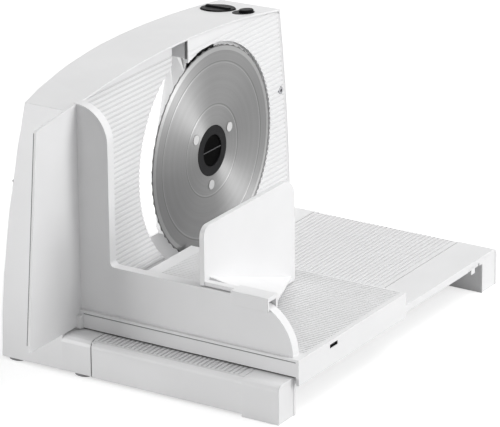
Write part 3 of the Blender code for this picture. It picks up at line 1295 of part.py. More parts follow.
def make_food_holder():
    gap = SLIDE_GAP
    wall_near, wall_far = PUSHER_Y, PUSHER_Y + PUSHER_RIM
    top = PUSHER_LOW_Z + gap
    inner = wall_far + gap
    plate = flat_piece("food_holder", [rounded([
        (inner, CARRIAGE_TOP + HOLDER_FOOT_GAP, 0.002), (HOLDER_Y, CARRIAGE_TOP + HOLDER_FOOT_GAP, 0.002),
        (HOLDER_Y, HOLDER_TOP, HOLDER_FAR_CORNER), (wall_near + 0.002, HOLDER_TOP, HOLDER_NEAR_CORNER),
        (wall_near + 0.002, top, 0), (inner, top, 0)], 4)],
        "X", HOLDER_X - HOLDER_THICKNESS, HOLDER_X, WHITE)
    join(plate, box("holder_bridge", (HOLDER_X - 0.001, wall_near + 0.0025, top + 0.0002),
                    (SADDLE_X + 0.001, wall_far, top + SADDLE_TOP - 0.0002)))
    saddle = box("saddle", (SADDLE_X, wall_near - gap - SADDLE_WALL, top - SADDLE_FLAP),
                 (SADDLE_END_X, inner + SADDLE_WALL, top + SADDLE_TOP))
    cut(saddle, box("saddle_channel", (SADDLE_X - OVERCUT, wall_near - gap, 0.0),
                    (SADDLE_END_X + OVERCUT, inner, top)))
    join(plate, saddle)
    join(plate, brace((HOLDER_X - 0.0013, inner + 0.0008, top + BRACE_TOP),
                      (HOLDER_X - 0.0013, HOLDER_Y - 0.003, CARRIAGE_TOP + HOLDER_FOOT_GAP + 0.003),
                      (SADDLE_END_X - 0.0013, inner + SADDLE_WALL - 0.0009, top - BRACE_DROP)))
    points = []
    for row in range(3):
        for column in range(5):
            y = -0.165 + SPIKE_PITCH * column
            z = 0.060 + SPIKE_PITCH * row
            points.append(((HOLDER_X - HOLDER_THICKNESS + 0.0005, y, z),
                           (HOLDER_X - HOLDER_THICKNESS - SPIKE_HEIGHT, y, z)))
    join(plate, rods("holder_spikes", SPIKE_RADIUS, points, segments=8, far_radius=0.0004))
    return plate


def brace(first, second, third):
    """A thin slanting gusset between three points."""
    bm = bmesh.new()
    corners = [Vector(p) for p in (first, second, third)]
    normal = (corners[1] - corners[0]).cross(corners[2] - corners[0]).normalized()
    low = [bm.verts.new(c - normal * SADDLE_WALL / 2) for c in corners]
    high = [bm.verts.new(c + normal * SADDLE_WALL / 2) for c in corners]
    bm.faces.new(low[::-1])
    bm.faces.new(high)
    for i in range(3):
        j = (i + 1) % 3
        bm.faces.new((low[i], low[j], high[j], high[i]))
    mesh = bpy.data.meshes.new("holder_brace")
    bm.to_mesh(mesh)
    bm.free()
    return add_object("holder_brace", mesh)


# Feet and cord gland

def foot_centres():
    left, right = LEFT_FOOT_Y + FOOT_RADIUS, RIGHT_FOOT_Y - FOOT_RADIUS - 0.001
    return [(x, y) for x in FOOT_X for y in (left + 0.0005, right)]


def make_feet():
    for number, (x, y) in enumerate(foot_centres(), 1):
        foot = rods("rubber_foot_%d" % number, FOOT_RADIUS, [
            ((x, y, 0.0), (x, y, FOOT_HEIGHT - FIT_GAP))], RUBBER, 24)
        join(foot, rods("foot_clip_%d" % number, FOOT_CLIP_RADIUS, [
            ((x, y, FOOT_HEIGHT / 2), (x, y, FOOT_HEIGHT + WALL))], segments=12))


def make_gland():
    back = back_x(GLAND_Y, GLAND_Z)
    return turned("cord_gland", [
        (GLAND_BORE, back - 0.0140), (GLAND_RADIUS - 0.0015, back - 0.0140), (GLAND_RADIUS - 0.0005, back - 0.0010),
        (GLAND_RADIUS + 0.0020, back - 0.0010 + 0.0005), (GLAND_RADIUS + 0.0020, back - FIT_GAP),
        (GLAND_RADIUS, back - FIT_GAP), (GLAND_RADIUS, back + 0.0060), (GLAND_BORE, back + 0.0060)],
        (0, GLAND_Y, GLAND_Z), "X", RUBBER, 16)


# Assembly

def finish_housing(housing):
    """Openings in the housing for the pieces that are fixed to it."""
    cut(housing, hinge_pockets("base_pockets"))
    cut(housing, rods("foot_clip_bores", FOOT_CLIP_RADIUS + FIT_GAP, [
        ((x, y, 0.0), (x, y, FOOT_HEIGHT + WALL + 0.0006)) for x, y in foot_centres()], segments=12))
    cut(housing, rods("housing_screw_bores", SCREW_SHANK_RADIUS + FIT_GAP, [
        ((-HOUSING_DEPTH - OVERCUT, y, z), (back_x(y, z) + SCREW_SINK + SCREW_LENGTH + 0.001, y, z))
        for y, z in REAR_SCREWS], segments=10))
    cut(housing, rods("guard_thread_bore", SCREW_SHANK_RADIUS + FIT_GAP, [
        ((-0.0135, GUARD_SCREW_Y, GUARD_SCREW_Z), (OVERCUT, GUARD_SCREW_Y, GUARD_SCREW_Z))], segments=10))


def build():
    housing = make_housing()
    finish_housing(housing)
    cover = make_rear_cover()
    cut(cover, rear_screw_openings(SCREW_HEAD_RADIUS + FIT_GAP, SCREW_SINK + SCREW_HEAD_HEIGHT + 0.0001))
    cut(cover, rods("cover_screw_bores", SCREW_SHANK_RADIUS + FIT_GAP, [
        ((-HOUSING_DEPTH - OVERCUT, y, z), (0.0, y, z)) for y, z in REAR_SCREWS], segments=10))
    make_rear_screws()
    make_guard_plate()
    make_guard_screw()
    make_motor()
    bracket, bush = make_gear_bracket()
    make_bearing("front_bearing", FRONT_BEARING_X)
    make_bearing("rear_bearing", REAR_BEARING_X)
    make_switch_module()
    make_table()
    make_hinge_pins()
    make_table_frame()
    make_table_latch()
    make_feet()
    make_gland()

    blade_axis = pivot("blade_axis", (0, 0, BLADE_Z))
    carry(blade_axis, make_blade(), make_hub(), *make_rivets(), make_blade_lock(), make_spindle(), make_worm_wheel())
    worm_axis = pivot("worm_axis", (WHEEL_X, worm_y(), BLADE_Z))
    carry(worm_axis, make_worm())

    stop_slide = pivot("stop_slide", (STOP_PLATE_X, GUIDE_Y, KNOB_Z))
    carry(stop_slide, make_stop_plate(), *make_stop_slide())
    knob_axis = pivot("knob_axis", (KNOB_SEAT_X, KNOB_Y, KNOB_Z))
    carry(knob_axis, make_thickness_screw(), make_thickness_knob())

    carriage_slide = pivot("carriage_slide", (CARRIAGE_X, CARRIAGE_LEFT_Y, CARRIAGE_TOP))
    carry(carriage_slide, make_carriage())
    holder_slide = pivot("holder_slide", (HOLDER_X, PUSHER_Y, PUSHER_LOW_Z), carriage_slide)
    carry(holder_slide, make_food_holder())

    switch_axis = pivot("switch_axis", top_frame(SWITCH_X, SWITCH_Y).translation)
    carry(switch_axis, make_power_switch())
    button_slide = pivot("button_slide", top_frame(BUTTON_X, BUTTON_Y).translation)
    carry(button_slide, make_safety_button())
    for piece in parts.objects:
        if piece.name in ("guard_plate", "stop_plate", "carriage", "power_switch", "safety_button"):
            tidy_faces(piece)


def settle():
    """Move everything so that the middle of the footprint is the origin."""
    bpy.context.view_layer.update()
    graph = bpy.context.evaluated_depsgraph_get()
    places = []
    for piece in parts.objects:
        if piece.type == "MESH":
            shown = piece.evaluated_get(graph)
            places += [shown.matrix_world @ Vector(corner) for corner in shown.bound_box]
    centre_x = (min(p.x for p in places) + max(p.x for p in places)) / 2
    centre_y = (min(p.y for p in places) + max(p.y for p in places)) / 2
    shift = Matrix.Translation((-centre_x, -centre_y, 0.0))
    for piece in list(parts.objects) + list(cutters.objects):
        if piece.parent is None:
            piece.matrix_world = shift @ piece.matrix_world
    bpy.context.view_layer.update()


build()
settle()
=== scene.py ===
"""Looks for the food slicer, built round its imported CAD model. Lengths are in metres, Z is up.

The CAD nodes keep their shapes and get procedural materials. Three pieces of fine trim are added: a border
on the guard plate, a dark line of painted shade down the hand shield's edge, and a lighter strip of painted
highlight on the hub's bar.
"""

import math

import bmesh
import bpy
from mathutils import Matrix, Vector


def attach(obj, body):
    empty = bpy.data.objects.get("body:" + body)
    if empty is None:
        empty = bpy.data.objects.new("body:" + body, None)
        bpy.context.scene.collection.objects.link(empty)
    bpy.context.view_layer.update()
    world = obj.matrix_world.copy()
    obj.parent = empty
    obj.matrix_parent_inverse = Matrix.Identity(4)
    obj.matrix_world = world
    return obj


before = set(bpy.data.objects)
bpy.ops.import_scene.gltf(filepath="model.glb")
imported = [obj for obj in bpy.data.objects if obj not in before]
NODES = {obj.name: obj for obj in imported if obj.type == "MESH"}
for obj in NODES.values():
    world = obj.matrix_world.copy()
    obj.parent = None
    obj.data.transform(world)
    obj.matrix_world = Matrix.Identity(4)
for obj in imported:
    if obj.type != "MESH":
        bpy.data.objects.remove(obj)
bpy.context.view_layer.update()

# Places, in the part's frame

FRONT_X = -0.06315
BLADE_Y = 0.070566
BLADE_Z = 0.1130
BLADE_CENTRE = Vector((FRONT_X, BLADE_Y, BLADE_Z))
FRINGE_RADIUS = 0.0836
BEVEL_RADIUS = 0.0802
RING_RADIUS = 0.0705
INNER_RING = 0.0365
FOOT_Z = 0.0020
SILL_Z = 0.0325
SHIELD_X = -0.06205
SHIELD_EDGE = ((-0.17003, 0.2005), (-0.18660, 0.0385))
RIGHT_CORNER = ((0.187066, FOOT_Z), (0.182566, 0.1150), (0.172766, 0.2016))
BORDER_TOP_Z = 0.1995
BORDER_STEPS = 60
BORDER_FACE_X = FRONT_X - 0.0002
BORDER_BACK_X = FRONT_X - 0.0012
BORDER_INSET = 0.0006
BORDER_WIDTH = 0.0020
BORDER_SLOPE = 0.0022
EDGE_SHADE_RADIUS = 0.00030
GUARD_SCREW_CENTRE = Vector((FRONT_X, 0.174066, 0.1325))
SCREW_SOCKET_RADIUS = 0.0013
GUARD_WALL_RADIUS = 0.0900
GUARD_WALL_X = FRONT_X - 0.0013
GUARD_GROOVE_X = -0.06425
STOP_GROOVE_X = -0.06975
TABLE_GROOVE_Z = 0.0302
TABLE_END_SEAM_X = -0.0367
GROOVE_WIDTH = 0.00035
CARRIAGE_SKIRT_Z = 0.0318
CARRIAGE_BAND_Z = 0.0431
CARRIAGE_FRONT_Y = -0.1209
CARRIAGE_EAR_X = -0.0560
CARRIAGE_SIDE_X = 0.1316
CARRIAGE_LINE_WIDTH = 0.0005
SLOT_X = (0.1300, 0.1338)
SLOT_Y = (-0.0780, -0.0659)
SLOT_Z = (0.0388, 0.0427)
WELL_RADII = (0.0800, 0.0875)
WELL_Y = (0.0405, 0.0800)
WELL_FLOOR_X = FRONT_X - 0.0008
BAR_SHIFT = Vector((-0.0003, 0.0, 0.0005))
BAR_REACH = 0.0124
BAR_DEPTH = 0.0008
BAR_HEIGHT = 0.0005

# Camera, at the photograph's place

CAMERA_PLACE = Vector((1.52485, -2.374434, 1.155))
CAMERA_AZIMUTH = math.radians(32.43)
CAMERA_ELEVATION = math.radians(20.59)
CAMERA_ROLL = math.radians(-0.59)
CAMERA_LENS = 283.5
SENSOR_WIDTH = 36.0

# Colours and finishes

WHITE = (0.80, 0.80, 0.805)
BLACK = (0.009, 0.009, 0.0095)
HUB_BLACK = (0.014, 0.014, 0.015)
# Painted shade: the near-black of the screw socket and of the blade lock in the hub's recess.
RECESS_SHADE_BLACK = (0.003, 0.003, 0.003)
# Painted highlight: the lighter grey of the strip along the hub bar's edge.
BAR_HIGHLIGHT_GREY = (0.09, 0.09, 0.092)
# Painted shade: the dark grey of the line down the hand shield's edge.
EDGE_SHADE_GREY = (0.16, 0.16, 0.165)
GREY = (0.42, 0.42, 0.43)
BLADE_STEEL = (0.265, 0.265, 0.265)
TURNED_STEEL = (0.58, 0.58, 0.59)
RIVET_STEEL = (0.55, 0.55, 0.55)
SCREW_STEEL = (0.20, 0.20, 0.21)
BRASS = (0.62, 0.44, 0.18)
NYLON = (0.74, 0.72, 0.64)
RUBBER = (0.030, 0.030, 0.031)
FOOT_GREY = (0.20, 0.20, 0.205)
FLOOR = (0.64, 0.64, 0.64)
PLASTIC_ROUGHNESS = 0.38
PLASTIC_GRAIN = 0.10
PLASTIC_IOR = 1.49
GRAIN_SCALE = 2600.0
GRAIN_DEPTH = 0.00008
METAL_EDGE = 0.0002
STREAK_DEPTH = 0.00004
RUBBER_EDGE = 0.0004
BLADE_ROUGHNESS = (0.38, 0.47)
BLADE_ANISOTROPY = 0.90
BLADE_ANISOTROPY_TURN = 0.25
FINE_RING_PITCH = 0.00022
WIDE_RING_PITCH = 0.0040
RING_HIGHLIGHT_SHIFT = -0.0002
RING_HIGHLIGHT_WIDTH = 0.0008
RING_HIGHLIGHT_TONE = 1.3
RING_SHADE_SHIFT = 0.0010
RING_SHADE_WIDTH = 0.0006
RING_SHADE_TONE = 0.8
FRINGE_BLEND = 0.0002
BEVEL_GRIND_AND_HIGHLIGHT_TONE = 1.50
FRINGE_TONE = 0.62
GUARD_GROOVE_SHADE_TONE = 0.94
STOP_GROOVE_SHADE_TONE = 0.86
TABLE_GROOVE_SHADE_TONE = 0.84
GUARD_WALL_SHADE_TONE = 0.20
TABLE_SEAM_SHADE_TONE = 0.12
CARRIAGE_SKIRT_SHADOW_TONE = 0.05
CARRIAGE_LINE_TONE = 0.22
SLOT_SHADE_TONE = 0.02
WELL_SHADE_TONE = 0.02
AMBIENT = 0.37
FLOOR_GLOW = 0.60
FLOOR_HALF_SIZE = 12.0

# Lamps: name, place, target, size and power

LAMPS = [
    ("key_right", (2.2, 0.45, 1.5), (0.0, 0.0, 0.08), (1.0, 1.0), 16.5),
    ("low_right", (2.35, 0.95, 0.50), (0.0, 0.0, 0.10), (0.9, 0.9), 17.5),
    ("top", (0.8, 0.9, 2.2), (0.0, 0.0, 0.0), (1.6, 1.6), 27.0),
    ("left", (-2.0, -1.6, 0.28), (0.0, 0.0, 0.1), (2.2, 0.45), 37.0),
]


# Node helpers

class Tree:
    """A material's nodes, with short ways to add and join them."""

    def __init__(self, name):
        self.material = bpy.data.materials.new(name)
        self.material.use_nodes = True
        self.nodes = self.material.node_tree.nodes
        self.shader = self.nodes["Principled BSDF"]

    def add(self, kind, **settings):
        node = self.nodes.new("ShaderNode" + kind)
        for key, value in settings.items():
            setattr(node, key, value)
        return node

    def link(self, source, target):
        self.material.node_tree.links.new(source, target)

    def set(self, node, **values):
        for key, value in values.items():
            node.inputs[key.replace("_", " ")].default_value = value
        return node

    def place(self):
        """The surface point in the piece's own coordinates, which are the part's at rest."""
        return self.add("TexCoord").outputs["Object"]

    def noise(self, vector, scale, detail=2.0, roughness=0.5):
        node = self.set(self.add("TexNoise"), Scale=scale, Detail=detail, Roughness=roughness)
        self.link(vector, node.inputs["Vector"])
        return node.outputs["Fac"]

    def spread(self, value, low, high, start=0.35, end=0.65):
        """Maps a noise value from start..end to low..high."""
        node = self.add("MapRange")
        self.set(node, From_Min=start, From_Max=end, To_Min=low, To_Max=high)
        self.link(value, node.inputs["Value"])
        return node.outputs["Result"]

    def maths(self, operation, first, second=None):
        node = self.add("Math", operation=operation)
        for socket, value in zip(node.inputs, (first, second)):
            if value is None:
                continue
            if isinstance(value, (int, float)):
                socket.default_value = value
            else:
                self.link(value, socket)
        return node.outputs[0]

    def blend(self, factor, first, second):
        """A colour between two colours, or two colour sockets."""
        node = self.add("Mix", data_type="RGBA")
        self.link(factor, node.inputs["Factor"])
        for socket, value in ((node.inputs[6], first), (node.inputs[7], second)):
            if isinstance(value, tuple):
                socket.default_value = (*value, 1.0)
            else:
                self.link(value, socket)
        return node.outputs[2]

    def bump(self, height, strength, distance, normal=None):
        node = self.set(self.add("Bump"), Strength=strength, Distance=distance)
        self.link(height, node.inputs["Height"])
        if normal is not None:
            self.link(normal, node.inputs["Normal"])
        return node.outputs["Normal"]

    def edge(self, radius, samples=6):
        node = self.add("Bevel", samples=samples)
        node.inputs["Radius"].default_value = radius
        return node.outputs["Normal"]


def shade(colour, factor):
    return tuple(min(1.0, channel * factor) for channel in colour)


# Materials

def near_ring(tree, radius, ring, half_width):
    """1 where a distance equals a given one, fading out on both sides of it."""
    away = tree.maths("ABSOLUTE", tree.maths("SUBTRACT", radius, ring))
    return tree.spread(away, 1.0, 0.0, half_width * 0.4, half_width)


def axis_values(tree, place):
    """The X, Y and Z of a point."""
    split = tree.add("SeparateXYZ")
    tree.link(place, split.inputs[0])
    return [split.outputs[axis] for axis in "XYZ"]


def below(tree, value, limit):
    return tree.maths("LESS_THAN", value, limit)


def above(tree, value, limit):
    return tree.maths("GREATER_THAN", value, limit)


def all_of(tree, first, *others):
    for other in others:
        first = tree.maths("MULTIPLY", first, other)
    return first


def between(tree, value, limits):
    low, high = limits
    return all_of(tree, above(tree, value, low), below(tree, value, high))


def moulded(name, colour, roughness, edge_radius, variation=0.02, specular=0.5, painted_shade=None):
    """Moulded plastic: a faint spark-eroded grain and slow tone changes.

    Its edges are shaded as if rounded where the edge radius is above zero. A painted shade function
    adds painted shade in a gap or groove to the surface colour.
    """
    tree = Tree(name)
    place = tree.place()
    tone = tree.spread(tree.noise(place, 14.0, 3.0), 0.0, 1.0)
    surface = tree.blend(tone, shade(colour, 1 - variation), shade(colour, 1 + variation))
    if painted_shade:
        surface = painted_shade(tree, place, surface)
    tree.link(surface, tree.shader.inputs["Base Color"])
    patchy = tree.noise(place, 45.0, 4.0, 0.6)
    tree.link(tree.spread(patchy, roughness - 0.04, roughness + 0.04), tree.shader.inputs["Roughness"])
    fine = tree.noise(place, GRAIN_SCALE, 2.0)
    rounded = tree.edge(edge_radius) if edge_radius else None
    tree.link(tree.bump(fine, PLASTIC_GRAIN, GRAIN_DEPTH, rounded), tree.shader.inputs["Normal"])
    tree.shader.inputs["IOR"].default_value = PLASTIC_IOR
    tree.shader.inputs["Specular IOR Level"].default_value = specular
    return tree.material


def ringed_radius(tree, centre):
    """Distance of the surface point from the line along X through a centre."""
    shift = tree.add("VectorMath", operation="SUBTRACT")
    tree.link(tree.place(), shift.inputs[0])
    shift.inputs[1].default_value = centre
    _, side, height = axis_values(tree, shift.outputs[0])
    square = tree.maths("ADD", tree.maths("POWER", side, 2.0), tree.maths("POWER", height, 2.0))
    return tree.maths("SQRT", square)


def circular_brushing(tree, radius, pitch):
    """Fine rings of uneven strength round the axis."""
    node = tree.add("TexNoise", noise_dimensions="1D")
    tree.set(node, Scale=1.0 / pitch, Detail=3.0, Roughness=0.7)
    tree.link(radius, node.inputs["W"])
    return node.outputs["Fac"]


def blade_steel():
    """Ground stainless steel: rings of brushing, and a ground edge painted brighter, partly for its grind
    and partly as painted highlight. The turned rings get painted highlight and painted shade.
    """
    tree = Tree("ground_blade_steel")
    radius = ringed_radius(tree, BLADE_CENTRE)
    rings = circular_brushing(tree, radius, FINE_RING_PITCH)
    wide = circular_brushing(tree, radius, WIDE_RING_PITCH)
    edge = above(tree, radius, BEVEL_RADIUS)
    tone = tree.blend(tree.spread(wide, 0.0, 1.0), shade(BLADE_STEEL, 0.94), shade(BLADE_STEEL, 1.05))
    fine = tree.blend(tree.spread(rings, 0.0, 1.0, 0.3, 0.7), tone, shade(BLADE_STEEL, 1.12))
    # The ground bevel is painted brighter, partly for its grind and partly as painted highlight.
    ground = tree.blend(edge, fine, shade(BLADE_STEEL, BEVEL_GRIND_AND_HIGHLIGHT_TONE))
    fringe = tree.spread(radius, 0.0, 1.0, FRINGE_RADIUS - FRINGE_BLEND, FRINGE_RADIUS + FRINGE_BLEND)
    ground = tree.blend(fringe, ground, shade(BLADE_STEEL, FRINGE_TONE))
    # Each turned ring gets a painted highlight line and, just outside it, a painted shade line.
    for ring in (RING_RADIUS, INNER_RING):
        light = near_ring(tree, radius, ring + RING_HIGHLIGHT_SHIFT, RING_HIGHLIGHT_WIDTH)
        dark = near_ring(tree, radius, ring + RING_SHADE_SHIFT, RING_SHADE_WIDTH)
        ground = tree.blend(light, ground, shade(BLADE_STEEL, RING_HIGHLIGHT_TONE))
        ground = tree.blend(dark, ground, shade(BLADE_STEEL, RING_SHADE_TONE))
    tree.link(ground, tree.shader.inputs["Base Color"])
    tree.link(tree.spread(rings, *BLADE_ROUGHNESS, 0.3, 0.7), tree.shader.inputs["Roughness"])
    tree.link(tree.bump(rings, 0.12, STREAK_DEPTH), tree.shader.inputs["Normal"])
    tangent = tree.add("Tangent", direction_type="RADIAL", axis="X")
    tree.link(tangent.outputs[0], tree.shader.inputs["Tangent"])
    tree.shader.inputs["Anisotropic"].default_value = BLADE_ANISOTROPY
    tree.shader.inputs["Anisotropic Rotation"].default_value = BLADE_ANISOTROPY_TURN
    tree.shader.inputs["Metallic"].default_value = 1.0
    return tree.material


def metal(name, colour, roughness, scale=220.0):
    """Machined or pressed metal with faint streaks and handling marks."""
    tree = Tree(name)
    place = tree.place()
    stretch = tree.add("Mapping")
    stretch.inputs["Scale"].default_value = (0.08, 1.0, 1.0)
    tree.link(place, stretch.inputs["Vector"])
    streak = tree.noise(stretch.outputs[0], scale * 6, 3.0)
    tone = tree.spread(streak, 0.0, 1.0)
    tree.link(tree.blend(tone, shade(colour, 0.93), shade(colour, 1.06)), tree.shader.inputs["Base Color"])
    marks = tree.noise(place, scale, 5.0, 0.65)
    tree.link(tree.spread(marks, roughness - 0.05, roughness + 0.08), tree.shader.inputs["Roughness"])
    tree.link(tree.bump(streak, 0.08, STREAK_DEPTH, tree.edge(METAL_EDGE, 4)), tree.shader.inputs["Normal"])
    tree.shader.inputs["Metallic"].default_value = 1.0
    return tree.material


def rubber(name, colour):
    tree = Tree(name)
    place = tree.place()
    dusty = tree.noise(place, 160.0, 4.0)
    tree.link(tree.blend(tree.spread(dusty, 0.0, 1.0), colour, shade(colour, 1.3)),
              tree.shader.inputs["Base Color"])
    tree.link(tree.spread(dusty, 0.62, 0.78), tree.shader.inputs["Roughness"])
    tree.link(tree.bump(tree.noise(place, 1800.0), 0.2, 0.0001, tree.edge(RUBBER_EDGE, 4)),
              tree.shader.inputs["Normal"])
    return tree.material


def guard_painted_shades(tree, place, surface):
    """Painted shade in the rib grooves, and painted shade on the plate's outer wall, which only a narrow
    gap shows.
    """
    depth = axis_values(tree, place)[0]
    groove = near_ring(tree, depth, GUARD_GROOVE_X, GROOVE_WIDTH)
    surface = tree.blend(groove, surface, shade(WHITE, GUARD_GROOVE_SHADE_TONE))
    outside = above(tree, ringed_radius(tree, BLADE_CENTRE), GUARD_WALL_RADIUS)
    wall = all_of(tree, outside, below(tree, depth, GUARD_WALL_X))
    return tree.blend(wall, surface, shade(WHITE, GUARD_WALL_SHADE_TONE))


def stop_painted_shades(tree, place, surface):
    """Painted shade in the rib grooves, a little darker than the ribs."""
    groove = near_ring(tree, axis_values(tree, place)[0], STOP_GROOVE_X, GROOVE_WIDTH)
    return tree.blend(groove, surface, shade(WHITE, STOP_GROOVE_SHADE_TONE))


def table_painted_shades(tree, place, surface):
    """Painted shade in the rib grooves, and painted shade on the end face in the gap beside the base."""
    along, _, height = axis_values(tree, place)
    groove = near_ring(tree, height, TABLE_GROOVE_Z, GROOVE_WIDTH)
    surface = tree.blend(groove, surface, shade(WHITE, TABLE_GROOVE_SHADE_TONE))
    return tree.blend(below(tree, along, TABLE_END_SEAM_X), surface, shade(WHITE, TABLE_SEAM_SHADE_TONE))


def carriage_painted_shades(tree, place, surface):
    """Painted shadow along the front wall's lower edge, the line along it, and painted shade inside the
    slot in the right side.
    """
    along, side, height = axis_values(tree, place)
    front = all_of(tree, below(tree, side, CARRIAGE_FRONT_Y),
                   between(tree, along, (CARRIAGE_EAR_X, CARRIAGE_SIDE_X)))
    skirt = all_of(tree, below(tree, height, CARRIAGE_SKIRT_Z), front)
    surface = tree.blend(skirt, surface, shade(WHITE, CARRIAGE_SKIRT_SHADOW_TONE))
    line = all_of(tree, near_ring(tree, height, CARRIAGE_BAND_Z, CARRIAGE_LINE_WIDTH), front)
    surface = tree.blend(line, surface, shade(WHITE, CARRIAGE_LINE_TONE))
    slot = all_of(tree, between(tree, along, SLOT_X), between(tree, side, SLOT_Y),
                  between(tree, height, SLOT_Z))
    return tree.blend(slot, surface, shade(WHITE, SLOT_SHADE_TONE))


def housing_painted_shades(tree, place, surface):
    """Painted shade on the deep floor of the blade's well, where the teeth stand before it."""
    along, side, height = axis_values(tree, place)
    floor = all_of(tree, between(tree, ringed_radius(tree, BLADE_CENTRE), WELL_RADII),
                   below(tree, along, WELL_FLOOR_X), between(tree, side, WELL_Y),
                   above(tree, height, BLADE_Z))
    return tree.blend(floor, surface, shade(WHITE, WELL_SHADE_TONE))


def socket_screw():
    """A bright screw head round a socket painted black as painted shade."""
    tree = Tree("guard_screw_metal")
    dark = below(tree, ringed_radius(tree, GUARD_SCREW_CENTRE), SCREW_SOCKET_RADIUS)
    tree.link(tree.blend(dark, shade(SCREW_STEEL, 2.2), RECESS_SHADE_BLACK), tree.shader.inputs["Base Color"])
    marks = tree.noise(tree.place(), 900.0, 4.0)
    tree.link(tree.spread(marks, 0.34, 0.46), tree.shader.inputs["Roughness"])
    tree.link(tree.bump(marks, 0.1, STREAK_DEPTH, tree.edge(METAL_EDGE, 4)), tree.shader.inputs["Normal"])
    tree.shader.inputs["Metallic"].default_value = 1.0
    return tree.material


MATERIALS = {
    "white": moulded("white_moulded_plastic", WHITE, PLASTIC_ROUGHNESS, 0.0007),
    "housing": moulded("white_housing_plastic", WHITE, PLASTIC_ROUGHNESS, 0.0007, painted_shade=housing_painted_shades),
    "guard": moulded("white_guard_plastic", WHITE, PLASTIC_ROUGHNESS, 0.0, painted_shade=guard_painted_shades),
    "stop": moulded("white_stop_plastic", WHITE, PLASTIC_ROUGHNESS, 0.0, painted_shade=stop_painted_shades),
    "table": moulded("white_table_plastic", WHITE, PLASTIC_ROUGHNESS, 0.0, painted_shade=table_painted_shades),
    "carriage": moulded("white_carriage_plastic", WHITE, PLASTIC_ROUGHNESS, 0.0, painted_shade=carriage_painted_shades),
    # Edge shade: a dark grey that is painted shade along the hand shield's edge.
    "edge_shade": moulded("edge_shade_plastic", EDGE_SHADE_GREY, 0.50, 0.0, specular=0.1),
    "black": moulded("black_moulded_plastic", BLACK, 0.34, 0.0004, variation=0.08, specular=0.02),
    "hub": moulded("hub_plastic", HUB_BLACK, 0.46, 0.0002, variation=0.06, specular=0.05),
    # Blade lock: black plastic, made darker than the hub as painted shade of its recess.
    "recess": moulded("recess_plastic", RECESS_SHADE_BLACK, 0.60, 0.0, specular=0.01),
    # Bar highlight: a lighter grey that is painted highlight on the hub bar's edge.
    "bar": moulded("bar_highlight_plastic", BAR_HIGHLIGHT_GREY, 0.45, 0.0, specular=0.1),
    "grey": moulded("grey_moulded_plastic", GREY, 0.48, 0.0004),
    "nylon": moulded("gear_nylon", NYLON, 0.42, 0.0002),
    "blade": blade_steel(),
    "steel": metal("turned_steel", TURNED_STEEL, 0.30),
    "rivet": metal("rivet_steel", RIVET_STEEL, 0.34, scale=400.0),
    "screw": metal("zinc_screw", SCREW_STEEL, 0.42, scale=400.0),
    "brass": metal("sintered_bearing", BRASS, 0.46, scale=700.0),
    "socket": socket_screw(),
    "rubber": rubber("grommet_rubber", RUBBER),
    "foot": rubber("foot_rubber", FOOT_GREY),
}

FINISH_OF = {
    "white": ["rear_cover", "table_end_frame", "food_holder", "table_latch"],
    "housing": ["housing"],
    "guard": ["guard_plate"],
    "stop": ["stop_plate"],
    "table": ["folding_table"],
    "carriage": ["carriage"],
    "black": ["power_switch", "safety_button", "thickness_knob", "switch_module", "motor_end_cap",
              "stop_carrier"],
    "recess": ["blade_lock"],
    "hub": ["blade_hub"],
    "grey": ["motor_mount", "gear_bracket", "button_contact", "thickness_screw"],
    "nylon": ["worm_wheel"],
    "blade": ["blade"],
    "steel": ["stop_guide_lower", "stop_guide_upper", "spindle", "worm", "motor_can", "table_hinge_pin_1",
              "table_hinge_pin_2"],
    "screw": ["rear_screw_%d" % i for i in range(1, 6)],
    "socket": ["guard_screw"],
    "rivet": ["blade_rivet_1", "blade_rivet_2", "blade_rivet_3"],
    "brass": ["front_bearing", "rear_bearing", "worm_bush"],
    "rubber": ["cord_gland"],
    "foot": ["rubber_foot_%d" % i for i in range(1, 5)],
}


def paint_nodes():
    """Gives each CAD node its finish."""
    for finish, names in FINISH_OF.items():
        for name in names:
            node = NODES[name]
            if not node.material_slots:
                node.data.materials.append(MATERIALS[finish])
            for slot in node.material_slots:
                slot.material = MATERIALS[finish]


# Trim that the scene adds; two pieces of it are painted shade and painted highlight

def new_object(name, mesh, finish, body):
    piece = bpy.data.objects.new(name, mesh)
    bpy.context.scene.collection.objects.link(piece)
    mesh.materials.append(MATERIALS[finish])
    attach(piece, body)


def arc_through(first, middle, last, steps):
    """Points on the circle through three points of a plane."""
    (ax, ay), (bx, by), (cx, cy) = first, middle, last
    double = 2 * (ax * (by - cy) + bx * (cy - ay) + cx * (ay - by))
    square_a, square_b, square_c = ax * ax + ay * ay, bx * bx + by * by, cx * cx + cy * cy
    centre_x = (square_a * (by - cy) + square_b * (cy - ay) + square_c * (ay - by)) / double
    centre_y = (square_a * (cx - bx) + square_b * (ax - cx) + square_c * (bx - ax)) / double
    radius = math.hypot(ax - centre_x, ay - centre_y)
    start = math.atan2(ay - centre_y, ax - centre_x)
    turn = (math.atan2(cy - centre_y, cx - centre_x) - start + math.pi) % (2 * math.pi) - math.pi
    angles = [start + turn * i / steps for i in range(steps + 1)]
    return [(centre_x + radius * math.cos(a), centre_y + radius * math.sin(a)) for a in angles]


